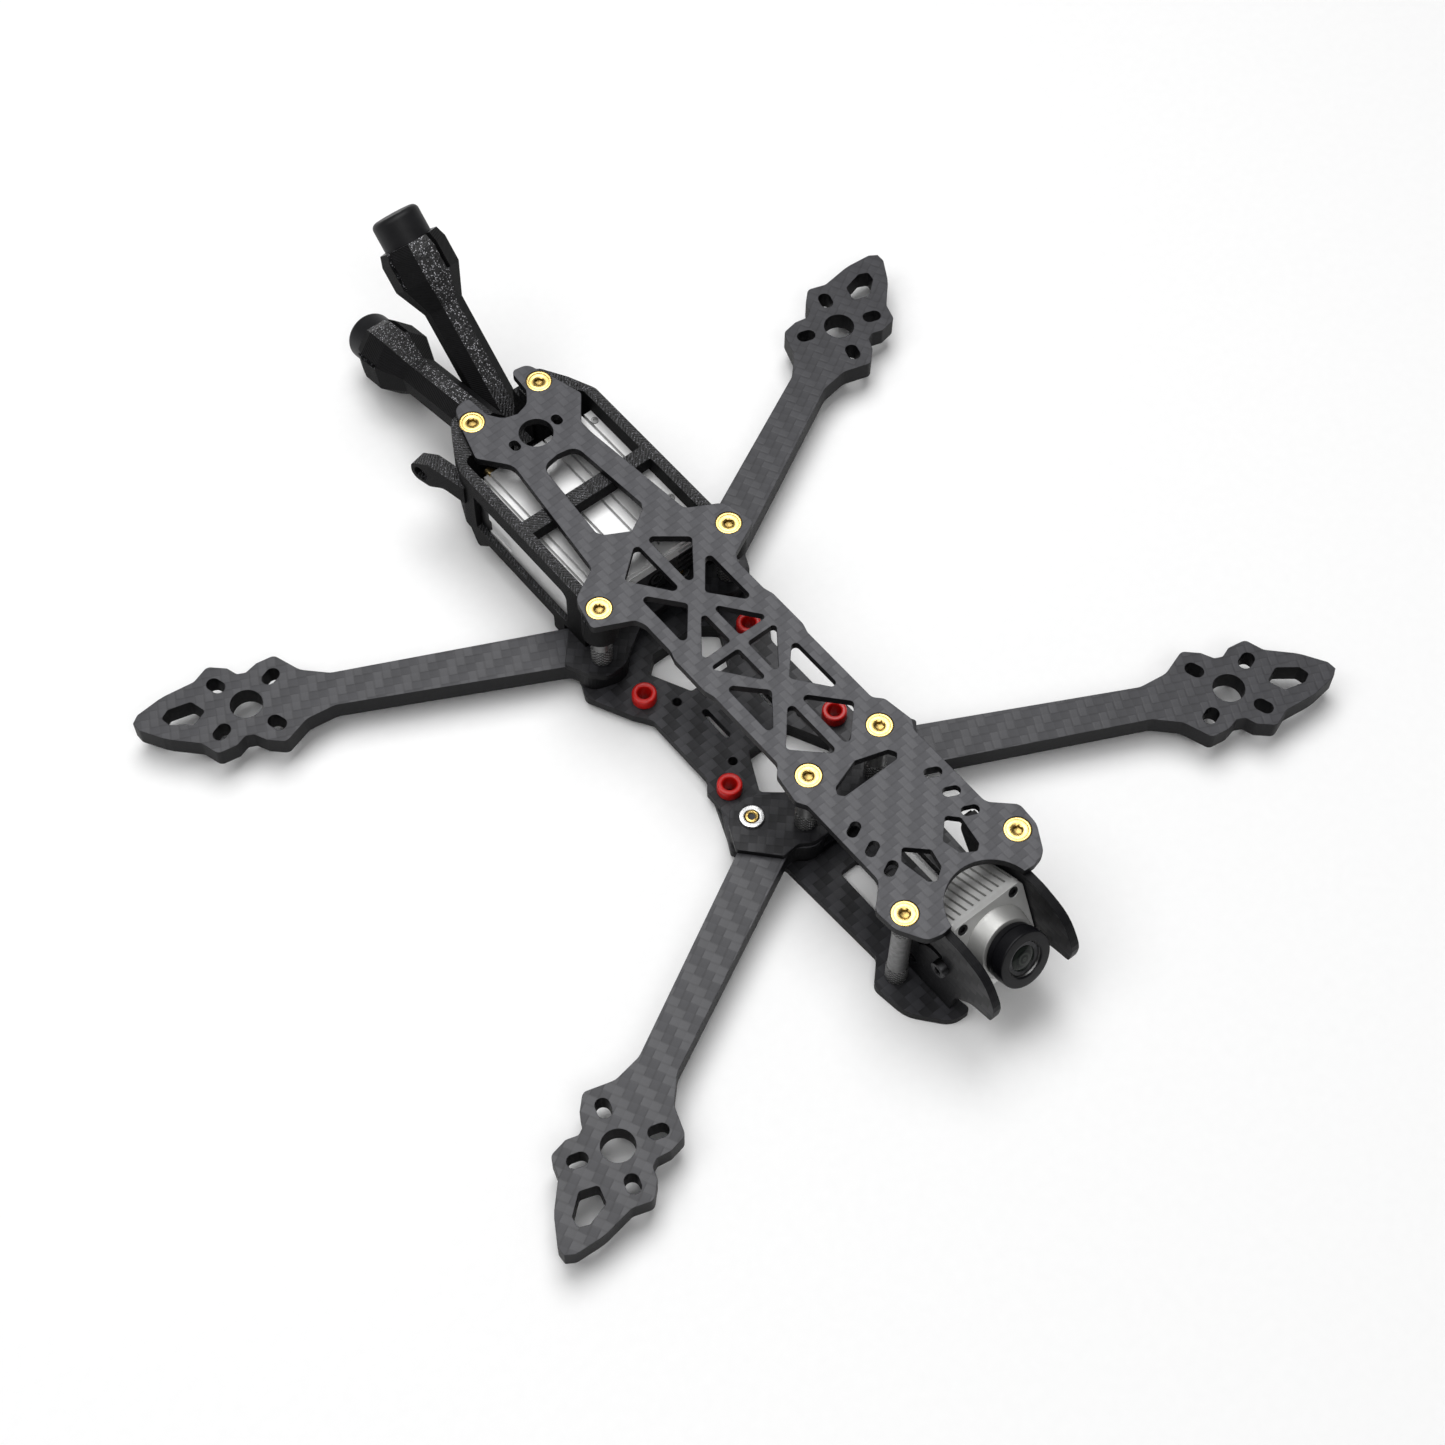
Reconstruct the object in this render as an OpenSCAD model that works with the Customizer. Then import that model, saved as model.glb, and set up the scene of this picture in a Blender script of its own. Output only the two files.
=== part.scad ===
// Five-inch racing quadcopter frame kit with a tilting camera, a video transmitter
// in a printed rear cage and two antenna stalks. Nose to -Y, left side to +X.
// The origin is the centre of the electronics stack, on the underside of the bottom plate.

/* [Plates] */
// Thickness of the bottom plate
bottom_t = 2.2; // [1.8:0.1:3]
// Thickness of the middle plate that carries the electronics
middle_t = 2.3; // [1.8:0.1:3]
// Thickness of the top plate
top_t = 2; // [1.6:0.1:2.5]
// Thickness of the plates that clamp the arm roots
clamp_t = 1.5; // [1:0.1:2]
// Thickness of the two camera side plates
side_t = 2; // [1.5:0.1:2.5]
// Height of the top plate's underside above the ground
deck_z = 29.2; // [27:0.1:32]

/* [Arms] */
// Thickness of an arm
arm_t = 5; // [4:0.1:6]
// Sideways distance from the middle to a motor
motor_x = 87.3; // [82:0.1:92]
// Lengthwise distance from the middle to a motor
motor_y = 67.7; // [64:0.1:72]
// Angle between an arm and the sideways direction
arm_angle = 27; // [26:0.5:28]
// Radius of the shaft hole under each motor
motor_hole_r = 3.7; // [3:0.1:4]
// Radius at which the motor screw slots sit
motor_slot_r = 8.75; // [8:0.05:9]

/* [Electronics stack] */
// Large stack hole spacing
stack_wide = 30.5; // [30:0.1:31]
// Small stack hole spacing
stack_small = 20; // [20:0.1:20.5]
// Radius of the clearance holes for the stack screws
stack_hole_r = 1.6; // [1.5:0.05:1.8]

/* [Camera] */
// Upward tilt of the camera as stored
camera_tilt = 25.4; // [0:0.1:45]
// Lengthwise place of the tilt axis
pivot_y = -81.4; // [-83:0.1:-80]
// Height of the tilt axis
pivot_z = 17.1; // [16:0.1:18]
// Half the gap between the camera side plates
side_gap = 10; // [9.8:0.1:10.5]

/* [Video transmitter] */
// Half width of the transmitter
unit_hw = 17.95; // [17:0.05:18]
// Front end of the transmitter
unit_y0 = 32.6; // [32:0.1:34]
// Length of the transmitter
unit_len = 43; // [40:0.5:43]
// Height of the transmitter's underside
unit_z0 = 12.35; // [12.2:0.05:12.6]
// Height of the transmitter's top
unit_z1 = 24.35; // [23:0.05:24.4]

/* [Antennas] */
// Upward angle of the left antenna stalk
left_elev = 42.7; // [30:0.1:60]
// Upward angle of the right antenna stalk
right_elev = -14.5; // [-16:0.1:20]
// Length of a stalk from its root to the rim of its socket
stalk_len = 38.8; // [30:0.1:42]
// Radius of an antenna cap
cap_r = 6; // [5:0.1:7]

/* [Hidden] */
$fn = 64;
eps = 0.02;                            // overshoot of a cutting tool
gap = 0.05;                            // working clearance between fitted pieces
middle_z = bottom_t;                   // underside of the middle plate
arm_z = middle_z + middle_t;           // underside of the arms
clamp_z = arm_z + arm_t;               // underside of the clamp plates
foot_z = clamp_z + clamp_t;            // where the short standoffs stand
top_z = deck_z + top_t;                // upper face of the top plate

// Screw places, all for the +X side
rear_post = [9.6, 85.6];
root_outer = [18.35, 26.6];
root_inner = [9.92, 34.7];
front_post = [15.61, -71.97];
screw_r = 1.5;                         // M3 thread
screw_hole_r = 1.6;                    // M3 clearance hole
head_r = 3;                            // countersunk head
head_h = 1.6;                          // depth of a countersunk head
post_r = 2.5;                          // standoff
post_neck_r = 2.3;                     // standoff between its knurled ends
knurl_h = 5.5;                         // length of a knurled end

// Rear cage
cage_hw = 19.5;                        // outer half width
cage_wall = 1.45;                      // thickness of a side wall
rail_w = 2.7;                          // width of a top rail
rail_h = 4.8;                          // depth of a top rail
cage_z0 = 9.9;                         // underside of the side walls
sill_h = 3;                            // height of the bottom rail
cage_y0 = 31.2;                        // front end of the side walls
cage_y1 = 76;                          // where the sides start to close in
window_y = [37.6, 72.5];               // side window
crossbar_y = [53, 57];                 // bar across the top
crossbar_h = 3.6;

// Antenna stalks
stalk_x = 4.7;                         // distance of a stalk from the middle plane
stalk_af = 9.2;                        // octagon, across flats
socket_af = 15.4;
left_root = [stalk_x, 100, 18.6];
right_root = [-stalk_x, 93.7, 21.2];
cap_len = 16;
cap_out = 7.2;                         // length of a cap beyond the socket rim
socket_len = 9.2;                      // straight part of a socket
flare_len = 7.6;                       // tapered part of a socket
wire_r = 1.2;                          // channel for the antenna wire

// Camera, measured from the tilt axis: forward, sideways, up
body_hw = 9.7;
body_hh = 10.2;
body_back = -9.5;
body_front = 1.9;
face_front = 3.4;                      // front face of the front plate
shroud_front = 7.4;
lens_front = 12.66;
lens_r = 6.7;
face_screw = [7.03, 8.6];
pivot_shank_r = 1;

// ---------- helpers ----------

function unit2(v) = v / norm(v);

// The arc that rounds corner b between a and c; each point is [x, y, radius]
function corner(a, b, c) =
    b[2] == 0 ? [[b[0], b[1]]] :
    let (p = [b[0], b[1]],
         u = unit2([a[0], a[1]] - p),
         v = unit2([c[0], c[1]] - p),
         half = acos(max(-1, min(1, u * v))) / 2,
         room = 0.49 * min(norm([a[0], a[1]] - p), norm([c[0], c[1]] - p)),
         r = min(b[2], room * tan(half)),
         centre = p + unit2(u + v) * r / sin(half),
         from = p + u * r / tan(half) - centre,
         to = p + v * r / tan(half) - centre,
         start = atan2(from[1], from[0]),
         turn = atan2(from[0] * to[1] - from[1] * to[0], from * to),
         steps = max(1, ceil(abs(turn) / 15)))
    [for (k = [0:steps]) centre + r * [cos(start + turn * k / steps), sin(start + turn * k / steps)]];

function rounded(p) =
    [for (i = [0:len(p) - 1]) each corner(p[(i + len(p) - 1) % len(p)], p[i], p[(i + 1) % len(p)])];

// A half outline given for x >= 0, closed by its mirror image
function both_sides(p) =
    concat(p, [for (i = [len(p) - 1:-1:0]) if (p[i][0] > 0) [-p[i][0], p[i][1], p[i][2]]]);

module both_x() {
    children();
    mirror([1, 0, 0]) children();
}

module slot(length, width) {
    square([length - width, width], center = true);
    for (side = [-1, 1])
        translate([side * (length - width) / 2, 0]) circle(d = width);
}

module at(place) {
    translate([place[0], place[1]]) children();
}

module plate(z, thickness) {
    translate([0, 0, z]) linear_extrude(thickness) children();
}

// Countersunk screw whose head top is at z = 0 and whose shank points down
module countersunk_screw(length, hex = 1.1) {
    difference() {
        union() {
            translate([0, 0, -0.4]) cylinder(r = head_r, h = 0.4);
            translate([0, 0, -head_h]) cylinder(r1 = screw_r, r2 = head_r, h = head_h - 0.4);
            translate([0, 0, -length]) cylinder(r = screw_r - gap / 2, h = length - head_h);
        }
        translate([0, 0, -1.1]) cylinder(r = hex, h = 1.1 + eps, $fn = 6);
    }
}

module countersink() {
    translate([0, 0, -0.4]) cylinder(r = head_r + gap, h = 0.4 + eps);
    translate([0, 0, -head_h]) cylinder(r1 = screw_r + gap, r2 = head_r + gap, h = head_h - 0.4);
}

// ---------- carbon plates ----------

top_outline = both_sides([
    [0, 80.9, 0], [3.4, 81.9, 3], [5.7, 85.2, 2], [6.2, 91.9, 1.2], [10.4, 91.2, 2.5],
    [12.7, 85, 3], [15.1, 76.6, 1.2], [9.6, 69.6, 4], [13.1, 36, 1.8], [21, 31.6, 3.5],
    [22.9, 23.4, 1.2], [14.2, 19.1, 2], [13.15, 16.8, 3], [13.15, 8, 2], [13.85, 5.6, 2],
    [13.85, -4.6, 2], [13.15, -7, 2], [13.15, -28.4, 2], [15.1, -30.4, 2], [16.2, -37.9, 1.5],
    [14.8, -40.3, 2], [14.8, -62.9, 3], [20, -67.8, 2.2], [19.6, -73.5, 4], [16, -79.6, 3],
    [12.6, -80.4, 2], [9.8, -80.1, 0.4], [9.4, -78, 0]
]);

// Truss windows on the +X side
top_trusses = [
    [[1.3, 35.5, 1], [9.6, 28.8, 1], [1.3, 17.8, 1]],
    [[9.75, 24.3, 1], [9.75, 6.5, 1], [2.4, 15.3, 1]],
    [[1.25, 12.2, 0.8], [1.25, 1.75, 0.8], [9.4, 1.75, 0.8]],
    [[1.25, -0.7, 0.8], [9.6, -0.7, 0.8], [1.25, -11.6, 0.8]],
    [[9.75, -5.8, 1], [9.75, -23, 1], [2.4, -13.5, 1]],
    [[1.25, -17.5, 1], [9.6, -26.8, 1], [1.25, -35, 1]],
    [[6, -60, 0.8], [8.3, -62.5, 0.8], [7.1, -69.5, 0.8], [5.6, -70.6, 0.8], [2.6, -68.6, 0.8],
     [1.6, -64.3, 0.8]]
];

module top_plate() {
    color([0.16, 0.16, 0.18])
    difference() {
        plate(deck_z, top_t)
        difference() {
            polygon(rounded(top_outline));
            translate([0, -81.75]) circle(r = 10.25);
            translate([0, 73.9]) circle(r = 4);
            both_x() translate([6, 73.95]) rotate(90) slot(3.1, 2.3);
            polygon(rounded(both_sides([
                [0, 65.9, 0], [4.7, 65.2, 3], [6.5, 43, 1.5], [5.4, 41.4, 1], [0, 38.4, 0]])));
            both_x() for (window = top_trusses) polygon(rounded(window));
            polygon(rounded(both_sides([
                [0, -38.1, 0], [7.4, -40.5, 1], [8.3, -42.2, 0.6], [7.2, -43.4, 0.6],
                [0, -43.4, 0]])));
            both_x() for (y = [-50.6, -56.5, -62.4])
                translate([11, y]) rotate(-25) slot(4, 2.4);
            both_x() for (p = [rear_post, root_outer, [root_inner[0], -root_inner[1]], front_post])
                at(p) circle(r = screw_hole_r);
        }
        both_x() for (p = [rear_post, root_outer, [root_inner[0], -root_inner[1]], front_post])
            translate([p[0], p[1], top_z]) countersink();
        // slots for the camera plates' upper tabs
        both_x() translate([side_gap, -67.5, deck_z - eps]) cube([side_t, 5, 1.5]);
    }
}

middle_outline = both_sides([
    [0, 39.4, 0], [11.6, 39.4, 4], [22.6, 30, 3], [25.4, 24, 2], [20, 13.2, 2], [17.3, 9.4, 2],
    [17.3, -10, 2], [19.4, -12.4, 1.5], [19.5, -17.4, 3], [24.9, -27.6, 1], [12.2, -39.4, 4],
    [0, -39.4, 0]
]);

// Large lightening window between the stack and the arm roots
module stack_window() {
    polygon(rounded(both_sides([
        [0, 10.2, 0], [5.6, 10.2, 0.8], [10.4, 19.9, 1], [6.2, 23.4, 1], [0, 23.4, 0]])));
}

module stack_holes(r) {
    for (x = [-1, 1], y = [-1, 1])
        translate([x, y] * stack_wide / 2) circle(r = r);
}

module small_stack_holes() {
    for (x = [-1, 1], y = [-1, 1])
        translate([x, y] * stack_small / 2) circle(r = 1.1);
}

module root_holes() {
    both_x() for (side = [-1, 1]) {
        translate([root_outer[0], side * root_outer[1]]) circle(r = screw_hole_r);
        translate([root_inner[0], side * root_inner[1]]) circle(r = screw_hole_r);
    }
}

module middle_plate() {
    color([0.16, 0.16, 0.18])
    plate(middle_z, middle_t)
    difference() {
        polygon(rounded(middle_outline));
        for (side = [0, 1]) mirror([0, side]) stack_window();
        stack_holes(2 + gap);
        small_stack_holes();
        both_x() translate([6.65, 0]) rotate(90) slot(9.2, 1.6);
        root_holes();
    }
}

bottom_outline = both_sides([
    [0, 91, 0], [10.2, 91, 3], [13.8, 84.6, 3], [11.4, 79, 4], [11.4, 44, 4], [22.6, 30, 3],
    [23.8, 24, 3], [18.8, 13.8, 2], [16, 9.4, 2], [16, -9.4, 2], [18.2, -13, 2],
    [23.6, -26.4, 2], [17.1, -37, 3], [15.9, -66, 1.5], [20.9, -71, 2.5], [19.8, -80, 8],
    [13.4, -87.8, 6], [8.6, -88.1, 1], [8.6, -84, 0]
]);

module bottom_plate() {
    color([0.14, 0.14, 0.16])
    difference() {
        plate(0, bottom_t)
        difference() {
            polygon(rounded(bottom_outline));
            translate([0, -84.6]) circle(r = 8.9);
            for (side = [0, 1]) mirror([0, side]) stack_window();
            polygon(rounded([
                [5.6, -45.6, 0.8], [8.5, -45.6, 1], [8.5, -63, 1], [5.6, -63, 0.8]]));
            polygon(rounded([
                [-3.4, -45.6, 0.8], [-8.9, -45.6, 1.2], [-8.9, -63, 1.6], [-3.4, -63, 0.8]]));
            for (y = [49.5, 70.5]) translate([0, y])
                polygon(rounded([[-7, -7, 1.5], [7, -7, 1.5], [7, 7, 1.5], [-7, 7, 1.5]]));
            stack_holes(stack_hole_r);
            small_stack_holes();
            both_x() translate([6.65, 0]) rotate(90) slot(10.5, 4.5);
            root_holes();
            both_x() for (p = [rear_post, front_post]) at(p) circle(r = screw_hole_r);
        }
        both_x() for (p = [rear_post, front_post, root_outer, root_inner,
                           [root_outer[0], -root_outer[1]], [root_inner[0], -root_inner[1]]])
            translate([p[0], p[1], 0]) mirror([0, 0, 1]) countersink();
        // slots for the camera plates' lower tabs
        both_x() translate([side_gap, -80, 0.7]) cube([side_t, 5, bottom_t]);
    }
}

clamp_outline = both_sides([
    [0, 39.8, 0], [11.6, 39.8, 2.5], [14.4, 37.9, 3], [18.9, 38.2, 0.8], [26, 30.5, 0.8],
    [23.2, 24.6, 4], [20.6, 21.8, 3], [15.6, 21.9, 3], [8.6, 26.4, 4], [4.6, 29, 3], [0, 29, 0]
]);

module clamp_plate() {
    color([0.16, 0.16, 0.18])
    plate(clamp_z, clamp_t)
    difference() {
        polygon(rounded(clamp_outline));
        both_x() {
            at(root_outer) circle(r = screw_hole_r);
            at(root_inner) circle(r = screw_hole_r);
        }
    }
}

module front_clamp_plate() {
    mirror([0, 1, 0]) clamp_plate();
}

module rear_clamp_plate() {
    clamp_plate();
}

// ---------- arms ----------

// Motor end and shaft, outward along +X from the motor axis; the half outline has y >= 0
head_half = [
    [25.3, 0, 0], [24.2, 2, 1.5], [18.4, 5.6, 8], [10.9, 8.2, 2], [7.6, 11.6, 1.6], [3.2, 10.3, 1],
    [1.2, 8.3, 1], [-0.8, 8.3, 1], [-3.4, 10.3, 1], [-7.6, 11.6, 1.6], [-12.8, 6.6, 4],
    [-19.5, 4.35, 4]
];
shaft_end = [-66, 5];
arm_head = concat(head_half, [[shaft_end[0], shaft_end[1], 0], [shaft_end[0], -shaft_end[1], 0]],
    [for (i = [len(head_half) - 1:-1:1]) [head_half[i][0], -head_half[i][1], head_half[i][2]]]);
arm_root = [
    [-60, 4.9, 0], [-77.6, 5.2, 4], [-80, 10.9, 4.4], [-88.8, 10.2, 4.6], [-85.6, -8.3, 4.8],
    [-76.2, -9.6, 4.4], [-73.8, -5.1, 4], [-60, -4.9, 0]
];

module arm_rear_left_shape() {
    translate([0, 0, arm_z])
    difference() {
        linear_extrude(arm_t)
        translate([motor_x, motor_y]) rotate(arm_angle)
        difference() {
            union() {
                polygon(rounded(arm_head));
                polygon(rounded(arm_root));
            }
            for (turn = [45:90:315])
                rotate(turn) translate([motor_slot_r, 0]) slot(4.6, 3.2);
            polygon(rounded([[9.2, 0, 0.8], [12.1, 3.1, 1], [17.4, 2, 0.8], [19, 0, 0.8],
                             [17.4, -2, 0.8], [12.1, -3.1, 1]]));
        }
        translate([motor_x, motor_y, -eps]) cylinder(r = motor_hole_r, h = arm_t + 2 * eps);
        for (p = [root_outer, root_inner])
            translate([p[0], p[1], -eps]) cylinder(r = screw_hole_r, h = arm_t + 2 * eps);
    }
}

module arm(left, rear) {
    color([0.17, 0.17, 0.19])
    mirror([left ? 0 : 1, 0, 0]) mirror([0, rear ? 0 : 1, 0]) arm_rear_left_shape();
}

// ---------- camera side plates ----------

// Outline in the plane of the plate: lengthwise, height
side_outline = [
    [-67.5, deck_z, 0], [-67.5, deck_z + 1.4, 0], [-62.6, deck_z + 1.4, 0], [-62.6, deck_z, 0],
    [-61.5, deck_z, 0.5], [-61.5, 23, 3], [-67, 14, 6], [-67.5, bottom_t, 0],
    [-75.1, bottom_t, 0], [-75.1, 0.8, 0], [-79.9, 0.8, 0], [-79.9, bottom_t, 0],
    [-85.2, bottom_t, 0.5], [-85.6, 9, 5], [-90.6, 13.6, 4], [-96.3, 15, 1], [-96.9, 20, 8],
    [-92.3, 27.4, 9], [-84.5, deck_z, 6], [-81, deck_z, 0]
];
arc_centre = [-78.6, 14.3];
arc_r = 5.4;

module camera_plate() {
    color([0.15, 0.15, 0.17])
    translate([side_gap, 0, 0]) rotate([90, 0, 90])
    linear_extrude(side_t)
    difference() {
        polygon(rounded(side_outline));
        translate([pivot_y, pivot_z]) circle(r = pivot_shank_r + gap);
        polygon(concat(
            [for (a = [24:10:104]) arc_centre + (arc_r + 0.85) * [cos(a), sin(a)]],
            [for (a = [104:-10:24]) arc_centre + (arc_r - 0.85) * [cos(a), sin(a)]]));
        for (a = [24, 104])
            translate(arc_centre + arc_r * [cos(a), sin(a)]) circle(r = 0.85);
        translate([-72.6, 7.2]) circle(r = 1.1);
    }
}

// ---------- standoffs and fasteners ----------

module standoff(place, z0) {
    height = deck_z - z0;
    color([0.55, 0.56, 0.58])
    translate([place[0], place[1], z0])
    difference() {
        union() {
            cylinder(r = post_neck_r, h = height);
            for (z = [0, height - knurl_h]) translate([0, 0, z]) cylinder(r = post_r, h = knurl_h);
        }
        translate([0, 0, -eps]) cylinder(r = screw_r, h = height + 2 * eps);
    }
}

module top_plate_screws() {
    color("goldenrod")
    both_x() for (p = [rear_post, root_outer, [root_inner[0], -root_inner[1]], front_post])
        translate([p[0], p[1], top_z]) countersunk_screw(8);
}

module bottom_plate_screws() {
    color([0.2, 0.2, 0.22])
    both_x() for (p = [rear_post, front_post])
        translate([p[0], p[1], 0]) mirror([0, 0, 1]) countersunk_screw(8);
}

nut_places = [[root_outer[0], -root_outer[1]], root_inner];
nut_flange_h = 0.8;

module arm_bolts() {
    color([0.2, 0.2, 0.22])
    both_x() {
        for (p = [root_outer, [root_inner[0], -root_inner[1]]])
            translate([p[0], p[1], 0]) mirror([0, 0, 1]) countersunk_screw(foot_z + 5);
        for (p = nut_places)
            translate([p[0], p[1], 0]) mirror([0, 0, 1])
                countersunk_screw(foot_z + nut_flange_h + 0.3);
    }
}

module press_nuts() {
    color([0.75, 0.75, 0.76])
    both_x() for (p = nut_places)
        translate([p[0], p[1], foot_z])
        difference() {
            cylinder(r = 2.8, h = nut_flange_h);
            translate([0, 0, -eps]) cylinder(r = screw_r, h = nut_flange_h + 2 * eps);
        }
}

// A grommet: its neck fills the hole of the middle plate and its bead stands on the plate
module stack_grommets() {
    color("red")
    for (x = [-1, 1], y = [-1, 1])
        translate([x * stack_wide / 2, y * stack_wide / 2, middle_z])
        rotate_extrude()
        polygon([[1.55, 0], [2, 0], [2, middle_t], [2.7, middle_t], [2.9, middle_t + 0.3],
                 [2.9, middle_t + 2.3], [2.6, middle_t + 2.7], [2.2, middle_t + 2.85],
                 [1.55, middle_t + 2.85]]);
}

// ---------- printed rear cage ----------

// One side wall with its window, as seen from the side: lengthwise, height
module cage_side_outline() {
    difference() {
        polygon(rounded([
            [cage_y0, foot_z + gap, 0.5], [39.2, foot_z + gap, 0.2], [39.2, 5.6, 0.5],
            [43.2, 5.6, 0.5], [43.2, cage_z0, 0.5], [68, cage_z0, 0.5], [72.6, 5.2, 0.8],
            [75.2, cage_z0, 0.5], [cage_y1, deck_z, 0], [cage_y0 + 1.5, deck_z, 0],
            [cage_y0, 20, 3]]));
        polygon(rounded([
            [window_y[0], cage_z0 + sill_h, 2], [window_y[1], cage_z0 + sill_h, 0.5],
            [window_y[1], deck_z - rail_h, 0.5], [window_y[0], deck_z - rail_h, 2]]));
    }
}

// Band that closes the cage round the rear posts, seen from above
module rear_band_outline(inner) {
    difference() {
        polygon(rounded(both_sides([
            [0, 90.6, 0], [12.4, 90.6, 3], [16.6, 83.6, 3], [cage_hw, 77, 3], [cage_hw, 74, 0],
            [inner, 74, 0], [inner, 79.4, 2], [0, 79.4, 0]])));
        both_x() at(rear_post) circle(r = post_r + gap);
    }
}

// The band, cut down between the posts where the stalks start
module rear_band() {
    difference() {
        union() {
            translate([0, 0, cage_z0])
                linear_extrude(deck_z - cage_z0) rear_band_outline(cage_hw - cage_wall);
            translate([0, 0, deck_z - rail_h])
                linear_extrude(rail_h) rear_band_outline(cage_hw - rail_w);
        }
        translate([-5.4, 79, 24]) cube([10.8, 12, 6]);
        translate([-0.2, 79, 14.5]) cube([5.6, 12, 15]);
        both_x() translate([5.3, 88, 26.4]) cube([2.4, 3, 4]);
    }
}

// Octagonal prism along a stalk's axis, flat side up
module octagon_bar(af, z0, z1) {
    translate([0, 0, z0]) rotate(22.5) cylinder(d = af / cos(22.5), h = z1 - z0, $fn = 8);
}

module along_stalk(root, elev) {
    translate(root) rotate([-90 + elev, 0, 0]) children();
}

// Eyelet arm that holds a receiver antenna, outward and down from the cage
module receiver_arm() {
    translate([-18.5, 77.4, 0]) rotate([0, 0, 12.5]) rotate([90, 0, 90])
    linear_extrude(3.9, center = true)
    difference() {
        polygon(rounded([[-1.5, 19.2, 0], [5.2, 19.5, 4], [9.8, 16.4, 3], [15.2, 16.3, 3],
                         [15.2, 21, 2.4], [9.4, 24.8, 1.6], [-1.5, 24.8, 0]]));
        translate([12.2, 19.3]) circle(r = 2);
    }
}

module rear_cage() {
    color([0.08, 0.08, 0.09])
    difference() {
        union() {
            // side walls and top rails
            both_x() {
                translate([cage_hw - cage_wall, 0, 0]) rotate([90, 0, 90])
                    linear_extrude(cage_wall) cage_side_outline();
                translate([cage_hw - rail_w, cage_y0 + 2, deck_z - rail_h])
                    cube([rail_w, cage_y1 - cage_y0 - 2, rail_h]);
                // sleeve round the short rear standoff, and its web to the wall
                translate([root_outer[0], root_outer[1], deck_z - 7.5])
                    cylinder(r = 4.1, h = 7.5);
                translate([16.6, root_outer[1] + 2, deck_z - 7.5]) cube([2.9, 5, 7.5]);
                translate([16.6, cage_y0, foot_z + gap]) cube([2.9, 1.3, deck_z - foot_z - gap]);
            }
            translate([-cage_hw + 1, crossbar_y[0], deck_z - crossbar_h])
                cube([2 * cage_hw - 2, crossbar_y[1] - crossbar_y[0], crossbar_h]);
            rear_band();
            receiver_arm();
            // two beams under the transmitter
            for (y = [40.3, 70.6])
                translate([-cage_hw + 0.2, y, cage_z0])
                    cube([2 * cage_hw - 0.4, 3.8, unit_z0 - gap - cage_z0]);
            // stubs that carry the antenna stalks
            along_stalk(left_root, left_elev) octagon_bar(stalk_af, -14.4, 0);
            along_stalk(right_root, right_elev) octagon_bar(stalk_af, -8, 0);
        }
        both_x() {
            translate([root_outer[0], root_outer[1], deck_z - 8])
                cylinder(r = post_r + gap, h = 9);
            translate([rear_post[0], rear_post[1], 0]) cylinder(r = post_r + gap, h = deck_z + 1);
        }
        // pocket for the transmitter
        translate([-unit_hw - gap, unit_y0 - 0.2, unit_z0 - gap])
            cube([2 * (unit_hw + gap), unit_len + 0.3, unit_z1 - unit_z0 + 2 * gap]);
        // the wire channels, and the room in which the wires turn
        along_stalk(left_root, left_elev) translate([0, 0, -14.5]) cylinder(r = wire_r, h = 16);
        along_stalk(right_root, right_elev) translate([0, 0, -14]) cylinder(r = wire_r, h = 16);
        translate([-6.2, 79, 13]) cube([12.4, 4.6, 13]);
    }
}

// ---------- antennas ----------

module socket_slots() {
    for (turn = [0:90:270])
        rotate(turn + 22.5)
            translate([0, -0.6, stalk_len - socket_len]) cube([10, 1.2, socket_len + 1]);
}

module antenna_stalk(root, elev) {
    color([0.08, 0.08, 0.09])
    along_stalk(root, elev)
    difference() {
        union() {
            octagon_bar(stalk_af, 0, stalk_len - socket_len - flare_len + eps);
            translate([0, 0, stalk_len - socket_len - flare_len]) rotate(22.5)
                cylinder(d1 = stalk_af / cos(22.5), d2 = socket_af / cos(22.5),
                         h = flare_len, $fn = 8);
            octagon_bar(socket_af, stalk_len - socket_len - eps, stalk_len - 2.6);
            translate([0, 0, stalk_len - 2.6 - eps]) rotate(22.5)
                cylinder(d1 = socket_af / cos(22.5), d2 = (socket_af - 1.6) / cos(22.5),
                         h = 2.6, $fn = 8);
        }
        translate([0, 0, -eps]) cylinder(r = wire_r, h = stalk_len);
        translate([0, 0, stalk_len + cap_out - cap_len - gap])
            cylinder(r = cap_r + gap / 2, h = cap_len);
        socket_slots();
    }
}

module antenna_cap(root, elev) {
    color([0.13, 0.13, 0.14])
    along_stalk(root, elev)
    translate([0, 0, stalk_len + cap_out - cap_len])
    rotate_extrude()
    polygon(concat(
        [[cap_r - 1.2, 0], [cap_r, 0]],
        [for (a = [0:15:90]) [cap_r - 1.5 + 1.5 * cos(a), cap_len - 1.5 + 1.5 * sin(a)]],
        [[0, cap_len], [0, cap_len - 1.2], [cap_r - 1.2, cap_len - 1.2]]));
}

// Radiator board with the end of its wire, inside the cap
module antenna_element(root, elev) {
    color([0.72, 0.45, 0.2])
    along_stalk(root, elev) {
        translate([-4, -0.4, stalk_len + cap_out - cap_len + 0.2]) cube([8, 0.8, 12]);
        translate([0, 0, 0.5]) cylinder(r = 0.9, h = stalk_len + cap_out - cap_len - 0.3);
    }
}

// ---------- video transmitter ----------

unit_y1 = unit_y0 + unit_len;
unit_shell = 1.4;                      // wall of the metal case
unit_split = 20.6;                     // height of the joint between case and lid
front_cap_len = 3;
rear_cap_len = 6.4;

module unit_box(z0, z1, inset = 0, y0 = unit_y0 + front_cap_len, y1 = unit_y1 - rear_cap_len) {
    translate([-unit_hw + inset, y0, z0]) cube([2 * (unit_hw - inset), y1 - y0, z1 - z0]);
}

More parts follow.
